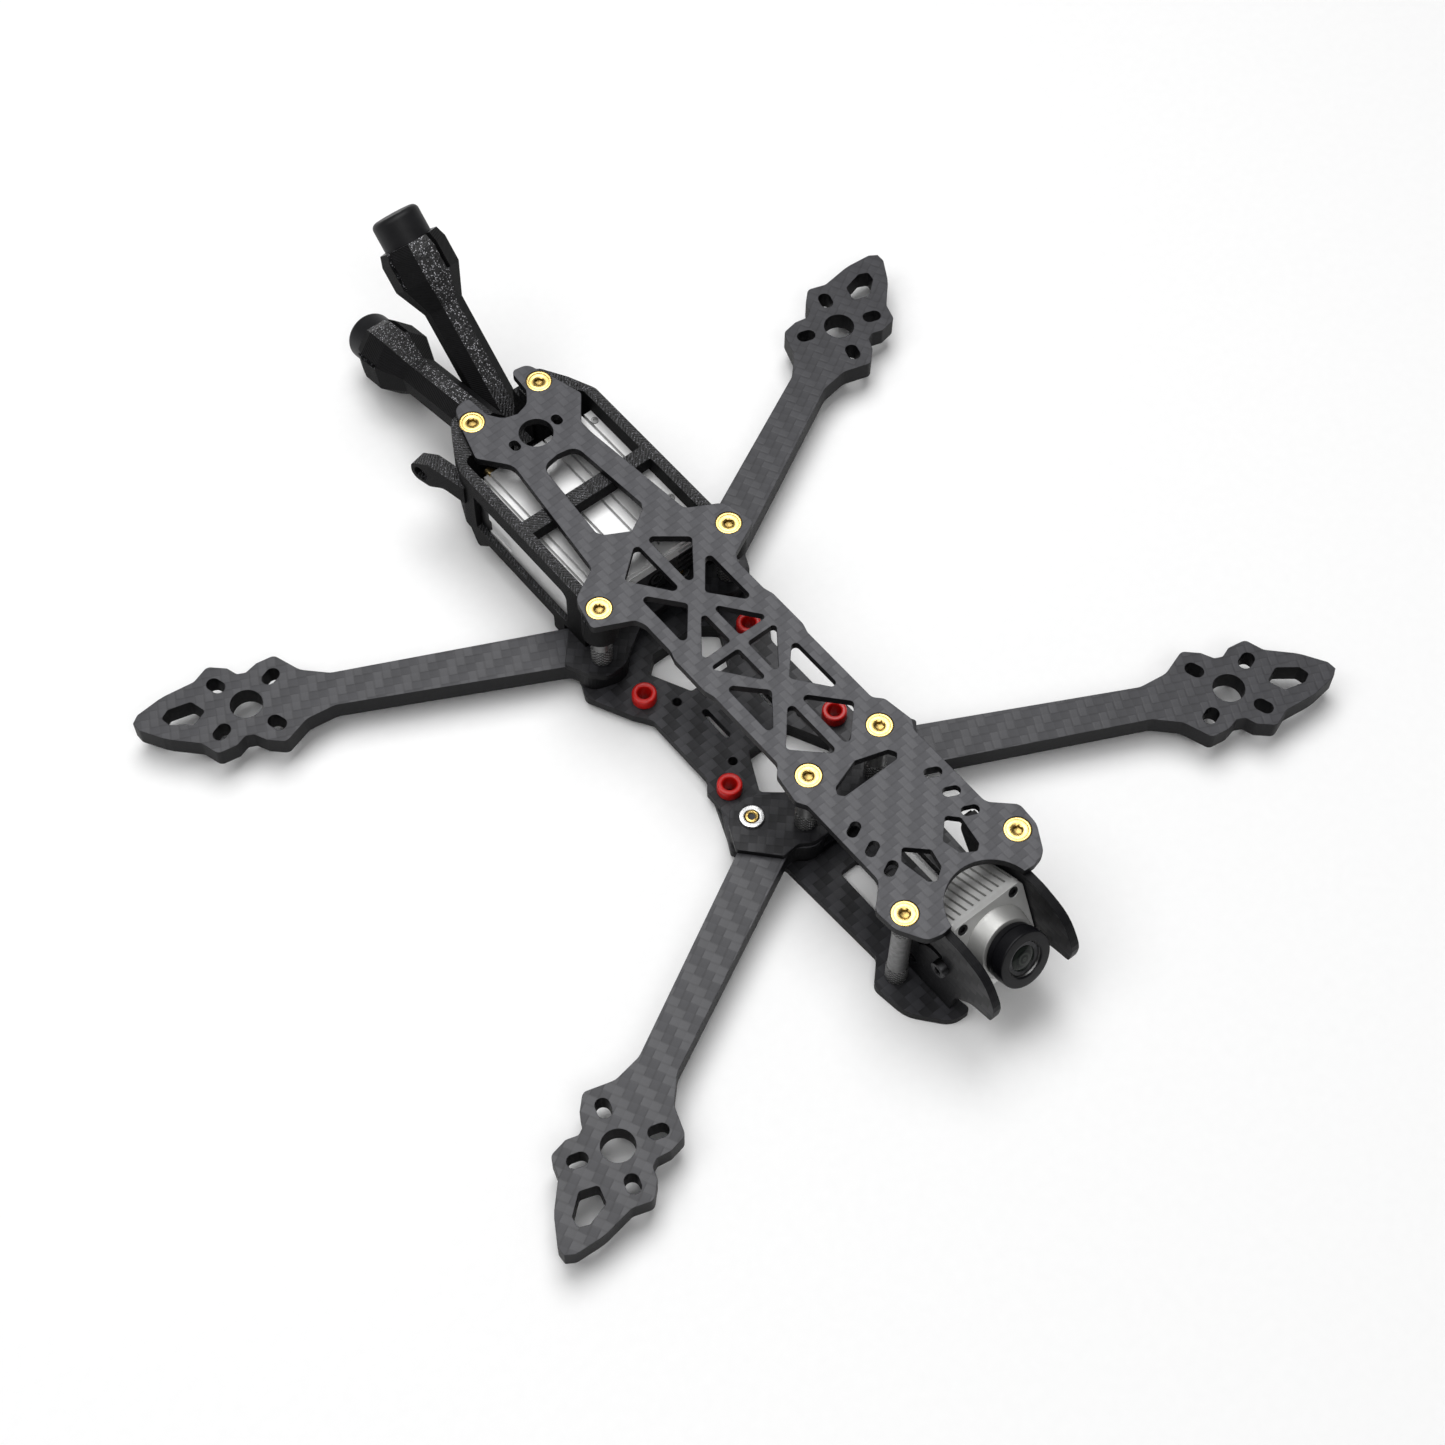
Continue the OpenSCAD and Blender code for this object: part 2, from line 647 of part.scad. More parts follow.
module transmitter_case() {
    color([0.74, 0.74, 0.75])
    difference() {
        unit_box(unit_z0, unit_split);
        unit_box(unit_z0 + unit_shell, unit_split + 1, unit_shell,
                 unit_y0 - 1, unit_y1 + 1);
        // recess for the side ports
        both_x() translate([unit_hw - 0.5, 61, 13.6]) cube([1, 8.9, 4.3]);
    }
    // comb of cooling slats on the left half of the front end
    color([0.74, 0.74, 0.75])
    translate([0, unit_y0 + 0.5, unit_z0]) {
        for (k = [0:3]) translate([8, 0, 0.3 + 2.1 * k]) cube([unit_hw - 8.3, 1.6, 1.1]);
        for (x = [8, unit_hw - 1]) translate([x, 0, 0.3]) cube([0.7, 1.6, 7.4]);
        translate([unit_hw - 1, 0, 0.3]) cube([0.7, front_cap_len - 0.5 + eps, 7.4]);
    }
}

// Finned lid; its full-length ribs run fore and aft
module transmitter_lid() {
    color([0.78, 0.78, 0.79])
    difference() {
        union() {
            unit_box(unit_split, unit_z1 - 1.2, 0, unit_y0, unit_y1);
            unit_box(unit_z1 - 1.2, unit_z1, 1, unit_y0 + 0.4, unit_y1);
        }
        unit_box(unit_split - 1, unit_z1 - 2.4, unit_shell, unit_y0 + front_cap_len,
                 unit_y1 - rear_cap_len);
        // the top slot of the front comb
        translate([8.7, unit_y0 - eps, 21.2]) cube([8.25, 1.6, 1]);
        both_x() for (x = [2.6, 5.2, 12.4, 14.2])
            translate([x, unit_y0 + 3, unit_z1 - 1.2]) cube([0.6, unit_len, 2]);
    }
}

module transmitter_front_cap() {
    color([0.1, 0.1, 0.11])
    difference() {
        unit_box(unit_z0, unit_split, 0.3, unit_y0 + 0.4, unit_y0 + front_cap_len);
        translate([7.95, unit_y0, unit_z0 - 1]) cube([12, 2.15, unit_split]);
        translate([unit_hw - 1.05, unit_y0, unit_z0 - 1]) cube([2, 4, unit_split]);
        // round socket and a row of ports
        translate([2.6, unit_y0 - 1, 16])
        rotate([-90, 0, 0])
        difference() {
            cylinder(r = 2.5, h = 2.8);
            cylinder(r = 1.7, h = 2.8);
        }
        translate([2.6, unit_y0 - 1, 16]) rotate([-90, 0, 0]) cylinder(r = 1, h = 2.8);
        translate([-9, unit_y0 - 1, 14.8]) cube([7, 2.2, 2.8]);
    }
}

module transmitter_rear_cap() {
    color([0.1, 0.1, 0.11])
    unit_box(unit_z0, unit_split, 0.3, unit_y1 - rear_cap_len, unit_y1);
}

module transmitter_board() {
    color([0.1, 0.3, 0.18])
    unit_box(16.2, 17.6, unit_shell + 0.4, unit_y0 + front_cap_len + 0.4,
             unit_y1 - rear_cap_len - 0.4);
}

module transmitter_screws() {
    color([0.3, 0.3, 0.32])
    for (x = [-15.6, 15.6], y = [unit_y0 + 11.5, unit_y1 - 3])
        translate([x, y, unit_z1])
        difference() {
            cylinder(r = 0.9, h = 0.35);
            translate([0, 0, 0.15]) cylinder(r = 0.4, h = 0.4, $fn = 6);
        }
}

module antenna_connectors() {
    color("gold")
    both_x() translate([11.6, unit_y1, 22.4]) rotate([-90, 0, 0])
    union() {
        cylinder(r = 1.5, h = 1);
        cylinder(r = 1.1, h = 2.2);
    }
}

// ---------- camera ----------

// Camera frame: +X left, +Y up the camera's face, +Z along the lens axis, origin on the pivot
module in_camera() {
    translate([0, pivot_y, pivot_z]) rotate([90 - camera_tilt, 0, 0]) children();
}

module camera_slab(z0, z1, hw = body_hw, hh = body_hh, r = 1.2) {
    translate([0, 0, z0]) linear_extrude(z1 - z0)
    polygon(rounded([[hw, hh, r], [-hw, hh, r], [-hw, -hh, r], [hw, -hh, r]]));
}

module camera_body() {
    color([0.76, 0.76, 0.77])
    in_camera()
    difference() {
        camera_slab(body_back, body_front);
        camera_slab(body_back + 1.4, body_front + 1, body_hw - 2.6, body_hh - 2.6, 0.5);
        // cooling grooves on the upper face
        for (k = [-5:5])
            translate([1.76 * k - 0.25, body_hh - 1.3, body_back - 1])
                cube([0.5, 3, body_front - body_back + 0.2]);
        for (side = [-1, 1])
            translate([side * (body_hw + 1), 0, 0]) rotate([0, side * -90, 0])
                cylinder(r = pivot_shank_r, h = 3.6);
    }
}

module camera_front_plate() {
    color([0.7, 0.7, 0.71])
    in_camera()
    difference() {
        camera_slab(body_front, face_front, body_hw, body_hh, 1.6);
        translate([0, 0, body_front - 1]) cylinder(r = 6, h = 4);
        for (x = [-1, 1], y = [-1, 1])
            translate([x * face_screw[0], y * face_screw[1], face_front - 0.8])
                cylinder(r = 1.34, h = 2);
    }
}

module camera_face_screws() {
    color([0.25, 0.25, 0.26])
    in_camera()
    for (x = [-1, 1], y = [-1, 1])
        translate([x * face_screw[0], y * face_screw[1], face_front - 0.8])
        difference() {
            cylinder(r = 1.3, h = 0.6);
            translate([0, 0, 0.25]) cylinder(r = 0.75, h = 1, $fn = 6);
        }
}

module lens_shroud() {
    color([0.8, 0.8, 0.81])
    in_camera()
    translate([0, 0, face_front])
    rotate_extrude()
    polygon([[5.9, 0], [8.3, 0], [7.1, shroud_front - face_front - 0.3],
             [6.9, shroud_front - face_front], [5.9, shroud_front - face_front]]);
}

module lens_barrel() {
    color([0.09, 0.09, 0.1])
    in_camera()
    translate([0, 0, body_front])
    rotate_extrude()
    polygon([[3.4, 0], [5.85, 0], [5.85, shroud_front - body_front],
             [lens_r - 0.3, shroud_front - body_front], [lens_r, shroud_front - body_front + 0.3],
             [lens_r, lens_front - body_front - 0.4], [lens_r - 0.4, lens_front - body_front],
             [4.3, lens_front - body_front], [4, lens_front - body_front - 0.5],
             [4, 8.4], [3.4, 8]]);
}

module lens_retainer() {
    color([0.2, 0.2, 0.21])
    in_camera()
    translate([0, 0, body_front])
    rotate_extrude()
    polygon([[2.5, 9.4], [3.95, 9.4], [3.95, 10], [3.1, 9.9]]);
}

module lens_glass() {
    color([0.3, 0.35, 0.4, 0.6])
    in_camera()
    translate([0, 0, body_front + 8.45])
    rotate_extrude()
    polygon(concat([[0, 0], [3.9, 0], [3.9, 0.85], [2.4, 0.9]],
        [for (a = [60:10:90]) [4.6 * cos(a), 0.9 + 4.6 * (sin(a) - sin(60))]]));
}

module camera_sensor_board() {
    color([0.1, 0.3, 0.18])
    in_camera() {
        translate([-6.6, -6.6, -1.2]) cube([13.2, 13.2, 1.2]);
        translate([-3.5, -3.5, 0]) cube([7, 7, 1]);
    }
}

module camera_pivot_screws() {
    color([0.2, 0.2, 0.22])
    both_x() translate([0, pivot_y, pivot_z]) rotate([0, 90, 0])
    difference() {
        union() {
            translate([0, 0, side_gap + side_t + gap]) cylinder(r = 1.95, h = 1.8);
            translate([0, 0, body_hw - 2.5])
                cylinder(r = pivot_shank_r - gap / 5, h = side_gap + side_t + 2.6 - body_hw + 0.1);
        }
        translate([0, 0, side_gap + side_t + 0.75]) cylinder(r = 0.95, h = 2, $fn = 6);
    }
}

// ---------- the model ----------

bottom_plate();
middle_plate();
top_plate();
front_clamp_plate();
rear_clamp_plate();
arm(true, false);  // arm_front_left
arm(false, false);  // arm_front_right
arm(true, true);  // arm_rear_left
arm(false, true);  // arm_rear_right
camera_plate();  // camera_plate_left
mirror([1, 0, 0]) camera_plate();  // camera_plate_right
standoff(front_post, bottom_t);  // front_standoff_left
mirror([1, 0, 0]) standoff(front_post, bottom_t);  // front_standoff_right
mirror([0, 1, 0]) standoff(root_inner, foot_z);  // mid_front_standoff_left
mirror([1, 0, 0]) mirror([0, 1, 0]) standoff(root_inner, foot_z);  // mid_front_standoff_right
standoff(root_outer, foot_z);  // mid_rear_standoff_left
mirror([1, 0, 0]) standoff(root_outer, foot_z);  // mid_rear_standoff_right
standoff(rear_post, bottom_t);  // rear_standoff_left
mirror([1, 0, 0]) standoff(rear_post, bottom_t);  // rear_standoff_right
top_plate_screws();
bottom_plate_screws();
arm_bolts();
press_nuts();
stack_grommets();
rear_cage();
antenna_stalk(left_root, left_elev);  // antenna_stalk_left
antenna_stalk(right_root, right_elev);  // antenna_stalk_right
antenna_cap(left_root, left_elev);  // antenna_cap_left
antenna_cap(right_root, right_elev);  // antenna_cap_right
antenna_element(left_root, left_elev);  // antenna_element_left
antenna_element(right_root, right_elev);  // antenna_element_right
transmitter_case();
transmitter_lid();
transmitter_front_cap();
transmitter_rear_cap();
transmitter_board();
transmitter_screws();
antenna_connectors();
camera_body();
camera_front_plate();
camera_face_screws();
lens_shroud();
lens_barrel();
lens_retainer();
lens_glass();
camera_sensor_board();
camera_pivot_screws();
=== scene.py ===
"""Lengths named in millimetres are turned into metres by MM. The nose points to -Y.
"""

import math

import bpy
from mathutils import Matrix, Vector


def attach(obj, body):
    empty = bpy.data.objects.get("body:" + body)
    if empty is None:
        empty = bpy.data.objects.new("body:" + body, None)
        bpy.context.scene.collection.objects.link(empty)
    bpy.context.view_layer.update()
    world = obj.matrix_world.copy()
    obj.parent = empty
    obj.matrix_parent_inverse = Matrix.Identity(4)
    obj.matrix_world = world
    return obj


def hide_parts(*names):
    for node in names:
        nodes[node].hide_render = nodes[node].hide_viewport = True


MM = 0.001
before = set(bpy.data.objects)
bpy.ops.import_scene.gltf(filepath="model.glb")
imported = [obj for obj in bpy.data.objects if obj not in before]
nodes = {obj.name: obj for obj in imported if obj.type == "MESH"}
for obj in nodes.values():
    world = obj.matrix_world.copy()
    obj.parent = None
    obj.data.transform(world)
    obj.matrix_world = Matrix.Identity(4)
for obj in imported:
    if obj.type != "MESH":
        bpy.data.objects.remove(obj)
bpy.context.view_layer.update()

# ---------- places shared with the CAD model, in mm ----------

TOP_Z = 31.2
DECK_Z = 29.2
FOOT_Z = 11.0
BOTTOM_T = 2.2
MIDDLE_Z = 2.2
REAR_POST = (9.6, 85.6)
ROOT_OUTER = (18.35, 26.6)
ROOT_INNER = (9.92, 34.7)
FRONT_POST = (15.61, -71.97)
PIVOT = (0.0, -81.4, 17.1)
CAMERA_TILT = 25.4
STACK_HALF = 15.25
ARM_ANGLE = 27.0
UNIT_FRONT = 32.6
TILT_SCREW_X = 13.85
LEFT_ROOT, LEFT_ELEV = (4.7, 100.0, 18.6), 42.7
RIGHT_ROOT, RIGHT_ELEV = (-4.7, 93.7, 21.2), -14.5
STALK_LEN, CAP_OUT, CAP_LEN, CAP_R = 38.8, 7.2, 16.0, 6.0

# ---------- details finer than the CAD model's, in mm ----------

POST_R, POST_NECK, POST_BORE = 2.5, 2.2, 1.5
KNURL_BAND = 5.5
KNURL_TEETH, KNURL_PITCH = 15, 1.05
KNURL_DEPTH = 0.22
TILT_HEAD_R, TILT_SHANK_R, TILT_HEAD_H = 1.95, 0.98, 1.8
PLATE_SCREW_LEN = 8
CAP_WALL = 1.2
ROUND = 96  # points round a turned piece
LAYER = 0.42  # height of a printed layer, and of a ply of carbon


# ---------- node helpers ----------


class Shader:
    """A material whose nodes are added one call at a time."""

    def __init__(self, name):
        self.mat = bpy.data.materials.new(name)
        self.mat.use_nodes = True
        self.tree = self.mat.node_tree
        self.tree.nodes.clear()
        self.out = self.tree.nodes.new("ShaderNodeOutputMaterial")
        self.bsdf = self.tree.nodes.new("ShaderNodeBsdfPrincipled")
        self.tree.links.new(self.bsdf.outputs["BSDF"], self.out.inputs["Surface"])

    def put(self, socket, value):
        """Links value to the socket if it is an output, and else stores it there."""
        if isinstance(value, bpy.types.NodeSocket):
            self.tree.links.new(value, socket)
        elif value is not None:
            if socket.type == "RGBA" and len(value) == 3:
                value = (*value, 1.0)
            socket.default_value = value

    def set(self, **values):
        """Shader inputs by name, with underscores for spaces."""
        for name, value in values.items():
            self.put(self.bsdf.inputs[name.replace("_", " ")], value)
        return self

    def math(self, op, a, b=None, c=None, clamp=False):
        node = self.tree.nodes.new("ShaderNodeMath")
        node.operation = op
        node.use_clamp = clamp
        for socket, value in zip(node.inputs, (a, b, c)):
            self.put(socket, value)
        return node.outputs[0]

    def place(self, turn=(0.0, 0.0, 0.0)):
        """Object coordinates in mm, turned by Euler angles in degrees."""
        coords = self.tree.nodes.new("ShaderNodeTexCoord")
        node = self.tree.nodes.new("ShaderNodeMapping")
        node.inputs["Rotation"].default_value = [math.radians(a) for a in turn]
        node.inputs["Scale"].default_value = (1 / MM, 1 / MM, 1 / MM)
        self.tree.links.new(coords.outputs["Object"], node.inputs["Vector"])
        return node.outputs["Vector"]

    def split(self, vector):
        node = self.tree.nodes.new("ShaderNodeSeparateXYZ")
        self.put(node.inputs[0], vector)
        return node.outputs[0], node.outputs[1], node.outputs[2]

    def join(self, x, y, z):
        node = self.tree.nodes.new("ShaderNodeCombineXYZ")
        for socket, value in zip(node.inputs, (x, y, z)):
            self.put(socket, value)
        return node.outputs[0]

    def noise(self, vector, scale, detail=2.0, rough=0.5):
        node = self.tree.nodes.new("ShaderNodeTexNoise")
        self.put(node.inputs["Vector"], vector)
        node.inputs["Scale"].default_value = scale
        node.inputs["Detail"].default_value = detail
        node.inputs["Roughness"].default_value = rough
        return node.outputs["Fac"]

    def voronoi(self, vector, scale, output="Distance"):
        node = self.tree.nodes.new("ShaderNodeTexVoronoi")
        self.put(node.inputs["Vector"], vector)
        node.inputs["Scale"].default_value = scale
        return node.outputs[output]

    def chance(self, value):
        """A fixed random number for each value."""
        node = self.tree.nodes.new("ShaderNodeTexWhiteNoise")
        node.noise_dimensions = "1D"
        self.put(node.inputs["W"], value)
        return node.outputs["Value"]

    def mix(self, factor, a, b):
        node = self.tree.nodes.new("ShaderNodeMix")
        node.data_type = "RGBA"
        self.put(node.inputs["Factor"], factor)
        self.put(node.inputs["A"], a)
        self.put(node.inputs["B"], b)
        return node.outputs["Result"]

    def blend(self, factor, a, b):
        """A number between a and b."""
        node = self.tree.nodes.new("ShaderNodeMix")
        node.data_type = "FLOAT"
        for name, value in (("Factor", factor), ("A", a), ("B", b)):
            self.put(node.inputs[name], value)
        return node.outputs["Result"]

    def range(self, value, low, high, to_low=0.0, to_high=1.0, smooth=False):
        node = self.tree.nodes.new("ShaderNodeMapRange")
        if smooth:
            node.interpolation_type = "SMOOTHSTEP"
        self.put(node.inputs["Value"], value)
        for name, number in (
            ("From Min", low), ("From Max", high), ("To Min", to_low), ("To Max", to_high)
        ):
            node.inputs[name].default_value = number
        return node.outputs["Result"]

    def normal(self):
        return self.tree.nodes.new("ShaderNodeNewGeometry").outputs["Normal"]

    def bump(self, height, strength=1.0, distance_mm=0.1, under=None):
        node = self.tree.nodes.new("ShaderNodeBump")
        node.inputs["Strength"].default_value = strength
        node.inputs["Distance"].default_value = distance_mm * MM
        self.put(node.inputs["Height"], height)
        self.put(node.inputs["Normal"], under)
        return node.outputs["Normal"]

    def soft_edges(self, radius_mm):
        """A normal that rounds the mesh's sharp edges."""
        node = self.tree.nodes.new("ShaderNodeBevel")
        node.samples = 4
        node.inputs["Radius"].default_value = radius_mm * MM
        return node.outputs["Normal"]


# ---------- materials ----------


def carbon(name, turn=(0.0, 0.0, 0.0), tow=1.9, light=0.068, dark=0.034, warp_sheen=0.12, shine=0.32):
    """Two-by-two twill laminate, whose warp and weft differ in tone by a painted sheen, whose
    strength is the argument after dark.

    The turn lays the sheet's plane in XY and its tows along X and Y.
    """
    s = Shader(name)
    place = s.place(turn)
    x, y, z = s.split(place)
    u = s.math("DIVIDE", x, tow)
    v = s.math("DIVIDE", y, tow)
    cu = s.math("FLOOR", u)
    cv = s.math("FLOOR", v)
    step = s.math("FLOORED_MODULO", s.math("SUBTRACT", cu, cv), 4.0)
    warp = s.math("LESS_THAN", step, 1.5)
    arch_u = s.math("ABSOLUTE", s.math("SUBTRACT", s.math("FRACT", u), 0.5))
    arch_v = s.math("ABSOLUTE", s.math("SUBTRACT", s.math("FRACT", v), 0.5))
    # the tow's rounded section, and its dive under the next tow
    across = s.blend(warp, arch_v, arch_u)
    crown = s.range(across, 0.5, 0.3, smooth=True)
    fibre_u = s.noise(s.join(s.math("MULTIPLY", x, 9.0), s.math("MULTIPLY", y, 0.7), z), 1.0)
    fibre_v = s.noise(s.join(s.math("MULTIPLY", x, 0.7), s.math("MULTIPLY", y, 9.0), z), 1.0)
    fibre = s.blend(warp, fibre_v, fibre_u)
    luck = s.blend(warp, s.chance(s.math("ADD", cv, 71.3)), s.chance(cu))
    # painted shading: each float is lighter towards the end where it rises, like a fish scale
    along = s.blend(warp, s.math("FRACT", u), s.math("FRACT", v))
    # painted sheen: the warp floats are lighter than the weft, and each tow gets a random tone
    tone = s.math("MULTIPLY_ADD", luck, 0.22, s.math("MULTIPLY", warp, warp_sheen))
    tone = s.math("MULTIPLY_ADD", along, 0.22, tone)
    tone = s.math("MULTIPLY_ADD", fibre, 0.24, tone)
    # painted highlight along the crown of each tow's rounded section
    tone = s.math("MULTIPLY_ADD", crown, 0.46 - warp_sheen, tone, clamp=True)
    cloud = s.noise(place, 0.045, 3.0)
    tone = s.math("MULTIPLY_ADD", s.math("SUBTRACT", cloud, 0.5), 0.3, tone, clamp=True)
    weave = s.mix(tone, (dark, dark, dark * 1.12), (light, light, light * 1.12))
    # cut faces: pressed layers, nearly black
    local = s.tree.nodes.new("ShaderNodeVectorTransform")
    local.vector_type = "NORMAL"
    local.convert_from = "WORLD"
    local.convert_to = "OBJECT"
    s.put(local.inputs[0], s.normal())
    turned = s.tree.nodes.new("ShaderNodeMapping")
    turned.inputs["Rotation"].default_value = [math.radians(a) for a in turn]
    s.put(turned.inputs["Vector"], local.outputs[0])
    facing = s.math("ABSOLUTE", s.split(turned.outputs[0])[2])
    cut = s.range(facing, 0.75, 0.55)
    ply = s.math("SINE", s.math("MULTIPLY", z, 2 * math.pi / LAYER))
    ply_noise = s.noise(s.join(s.math("MULTIPLY", x, 0.5), s.math("MULTIPLY", y, 0.5), z), 2.2, 3)
    ply_tone = s.math("MULTIPLY_ADD", ply, 0.25, ply_noise, clamp=True)
    edge = s.mix(ply_tone, (0.002, 0.002, 0.0025), (0.012, 0.012, 0.0135))
    s.set(Base_Color=s.mix(cut, weave, edge), IOR=1.5)
    s.set(Specular_IOR_Level=s.blend(cut, shine, 0.12))
    s.set(Roughness=s.blend(cut, s.blend(warp, 0.47, 0.38), 0.5))
    height = s.math("MULTIPLY_ADD", fibre, 0.12, crown)
    height = s.blend(cut, height, s.math("MULTIPLY", ply, 0.5))
    s.set(Normal=s.bump(height, 0.2, 0.06, s.soft_edges(0.22)))
    return s.mat


def printed(name, hatch=True):
    """Layered flexible print: matt ridged sides, and upward faces with a painted sheen and painted
    glints.
    """
    s = Shader(name)
    place = s.place()
    x, y, z = s.split(place)
    nx, _, nz = s.split(s.normal())
    if hatch:
        flat = s.range(nz, 0.69, 0.73)
    else:
        # the flares of the stalks, which lean, get the painted sheen and painted glints on their
        # upper sides
        flat = s.math("MULTIPLY", s.range(nz, 0.3, 0.42),
                      s.range(s.math("ABSOLUTE", nx), 0.55, 0.42))
    layer = s.math("SINE", s.math("MULTIPLY", z, 2 * math.pi / LAYER))
    wobble = s.math("MULTIPLY", s.noise(place, 0.9, 2), 1.2)
    # the top layer's strands run in opposite diagonals on the two halves of a rail
    fold = s.math("ABSOLUTE", s.math("SUBTRACT", s.math("ABSOLUTE", x), 18.2))
    diagonal = s.math("ADD", s.math("ADD", fold, y), wobble)
    strand = s.math("SINE", s.math("MULTIPLY", diagonal, 2 * math.pi / 0.95))
    grain = s.noise(place, 3.2, 3, 0.65)
    blob = s.voronoi(place, 3.0)
    # painted glints: scattered cells of the upward faces are coloured light grey
    painted_glint = s.split(s.voronoi(place, 3.0, "Color"))[0]
    painted_glint = s.range(painted_glint, 0.72 if hatch else 0.55, 0.95)
    painted_glint = s.math("MULTIPLY", painted_glint, s.range(blob, 0.5, 0.25))
    rough_skin = s.math("MULTIPLY_ADD", blob, 0.9, s.math("MULTIPLY", grain, 0.9))
    height = s.blend(flat, s.math("MULTIPLY", layer, 0.3),
                     s.math("MULTIPLY_ADD", strand, 0.35 if hatch else 0.0, rough_skin))
    base = 0.010
    # painted shade in the grooves between the layers of the sides, over an uneven tone
    tone = s.math("MULTIPLY_ADD", layer, 0.12, s.noise(place, 0.8, 4, 0.6))
    side = s.mix(tone, (base * 0.3,) * 3, (base * 0.9, base * 0.9, base))
    # painted sheen and shade on the upward faces: strand crests far lighter than the sides,
    # hollows darker
    painted_strand_light = s.range(s.math("MULTIPLY_ADD", strand, 0.4 if hatch else 0.0, grain), 0.4, 0.95)
    top = s.mix(painted_strand_light, (base * 0.1,) * 3, (base * 4.2, base * 4.2, base * 4.5))
    top = s.mix(painted_glint, top, (0.2, 0.2, 0.22) if hatch else (0.68, 0.68, 0.72))
    s.set(Base_Color=s.mix(flat, side, top), IOR=1.5)
    s.set(Roughness=s.blend(flat, 0.68, s.range(grain, 0.35, 0.68, 0.26, 0.55)))
    s.set(Specular_IOR_Level=s.blend(flat, 0.1, 0.4))
    s.set(Normal=s.bump(height, 0.75, 0.16))
    return s.mat


def turned_metal(name, colour, rough, socket_shade=1.0):
    """Lathe-turned metal, with faint rings about the object's own Z axis.

    The last argument, below 1, darkens what lies under the head's face: painted shade in the
    socket.
    """
    s = Shader(name)
    place = s.place()
    x, y, z = s.split(place)
    radius = s.math("SQRT", s.math("ADD", s.math("MULTIPLY", x, x), s.math("MULTIPLY", y, y)))
    ring_mm = 0.18
    rings = s.math("SINE", s.math("MULTIPLY", s.math("ADD", radius, z), 2 * math.pi / ring_mm))
    grime = s.noise(place, 0.9, 4, 0.6)
    darker = tuple(c * 0.72 for c in colour)
    shade = s.mix(s.range(grime, 0.3, 0.75), colour, darker)
    # painted shade inside the socket
    if socket_shade < 1:
        shade = s.mix(s.range(z, -0.1, -0.3), shade, tuple(c * socket_shade for c in colour))
    s.set(Base_Color=shade, Metallic=1.0)
    s.set(Roughness=s.range(grime, 0.3, 0.7, rough - 0.06, rough + 0.12))
    s.set(Normal=s.bump(s.math("MULTIPLY_ADD", rings, 0.3, grime), 0.25, 0.02))
    return s.mat


def knurled_metal(name, colour):
    """Grey plated steel whose knurl is picked out by painted shade in its grooves."""
    s = Shader(name)
    place = s.place()
    x, y, z = s.split(place)
    teeth = s.math("MULTIPLY", s.math("ARCTAN2", y, x), KNURL_TEETH / (2 * math.pi))
    height = s.math("DIVIDE", z, KNURL_PITCH)
    ridges = []
    for op in ("ADD", "SUBTRACT"):
        turn = s.math("FRACT", s.math(op, teeth, height))
        ridges.append(s.math("ABSOLUTE", s.math("SUBTRACT", turn, 0.5)))
    # painted shade: the knurl's grooves are coloured near black
    groove_shade = s.range(s.math("MAXIMUM", *ridges), 0.32, 0.44)
    grime = s.noise(place, 0.9, 4, 0.6)
    radius = s.math("SQRT", s.math("ADD", s.math("MULTIPLY", x, x), s.math("MULTIPLY", y, y)))
    groove_shade = s.math("MULTIPLY", groove_shade, s.range(radius, POST_R, POST_R - 0.06))
    groove_shade = s.math("MULTIPLY", groove_shade, s.math("GREATER_THAN", radius, POST_NECK + 0.05))
    plain_tone = s.mix(s.range(grime, 0.3, 0.75), colour, tuple(c * 0.7 for c in colour))
    s.set(Base_Color=s.mix(groove_shade, plain_tone, (0.02, 0.02, 0.02)), Metallic=0.8)
    s.set(Roughness=s.range(grime, 0.3, 0.7, 0.34, 0.5))
    s.set(Normal=s.bump(grime, 0.15, 0.02))
    return s.mat


def blasted_metal(name, colour, rough=0.42, metallic=0.35, dark_front=None):
    """Cast or bead-blasted light metal with a fine even grain, dark ahead of dark_front."""
    s = Shader(name)
    place = s.place()
    grain = s.noise(place, 3.5, 3, 0.6)
    stain = s.noise(place, 0.12, 3)
    darker = tuple(c * 0.86 for c in colour)
    shade = s.mix(s.range(stain, 0.3, 0.7), colour, darker)
    if dark_front is not None:
        shade = s.mix(s.math("LESS_THAN", s.split(place)[1], dark_front), shade, (0.035,) * 3)
    s.set(Base_Color=shade, Metallic=metallic)
    s.set(Roughness=s.range(grain, 0.3, 0.7, rough - 0.05, rough + 0.09))
    s.set(Normal=s.bump(grain, 0.22, 0.03, s.soft_edges(0.12)))
    return s.mat


def moulded(name, colour, rough=0.45, speck=2.5, strength=0.2, shine=0.28):
    """Moulded plastic or rubber with a fine spark-eroded grain."""
    s = Shader(name)
    place = s.place()
    grain = s.noise(place, speck, 3, 0.6)
    stain = s.noise(place, 0.25, 3)
    lighter = tuple(c * 1.35 + 0.002 for c in colour)
    s.set(Base_Color=s.mix(s.range(stain, 0.35, 0.7), colour, lighter))
    s.set(Roughness=s.range(grain, 0.3, 0.7, rough - 0.05, rough + 0.08))
    s.set(Specular_IOR_Level=shine)
    s.set(Normal=s.bump(grain, strength, 0.04))
    return s.mat


def silicone(name):
    s = Shader(name)
    place = s.place()
    grain = s.noise(place, 1.4, 3)
    s.set(Base_Color=s.mix(s.range(grain, 0.3, 0.7), (0.5, 0.004, 0.003), (0.62, 0.008, 0.005)))
    s.set(Roughness=s.range(grain, 0.3, 0.7, 0.3, 0.42), Subsurface_Weight=0.25)
    s.bsdf.inputs["Subsurface Radius"].default_value = (1.0, 0.25, 0.15)
    s.bsdf.inputs["Subsurface Scale"].default_value = 0.6 * MM
    s.set(Normal=s.bump(grain, 0.1, 0.05))
    return s.mat


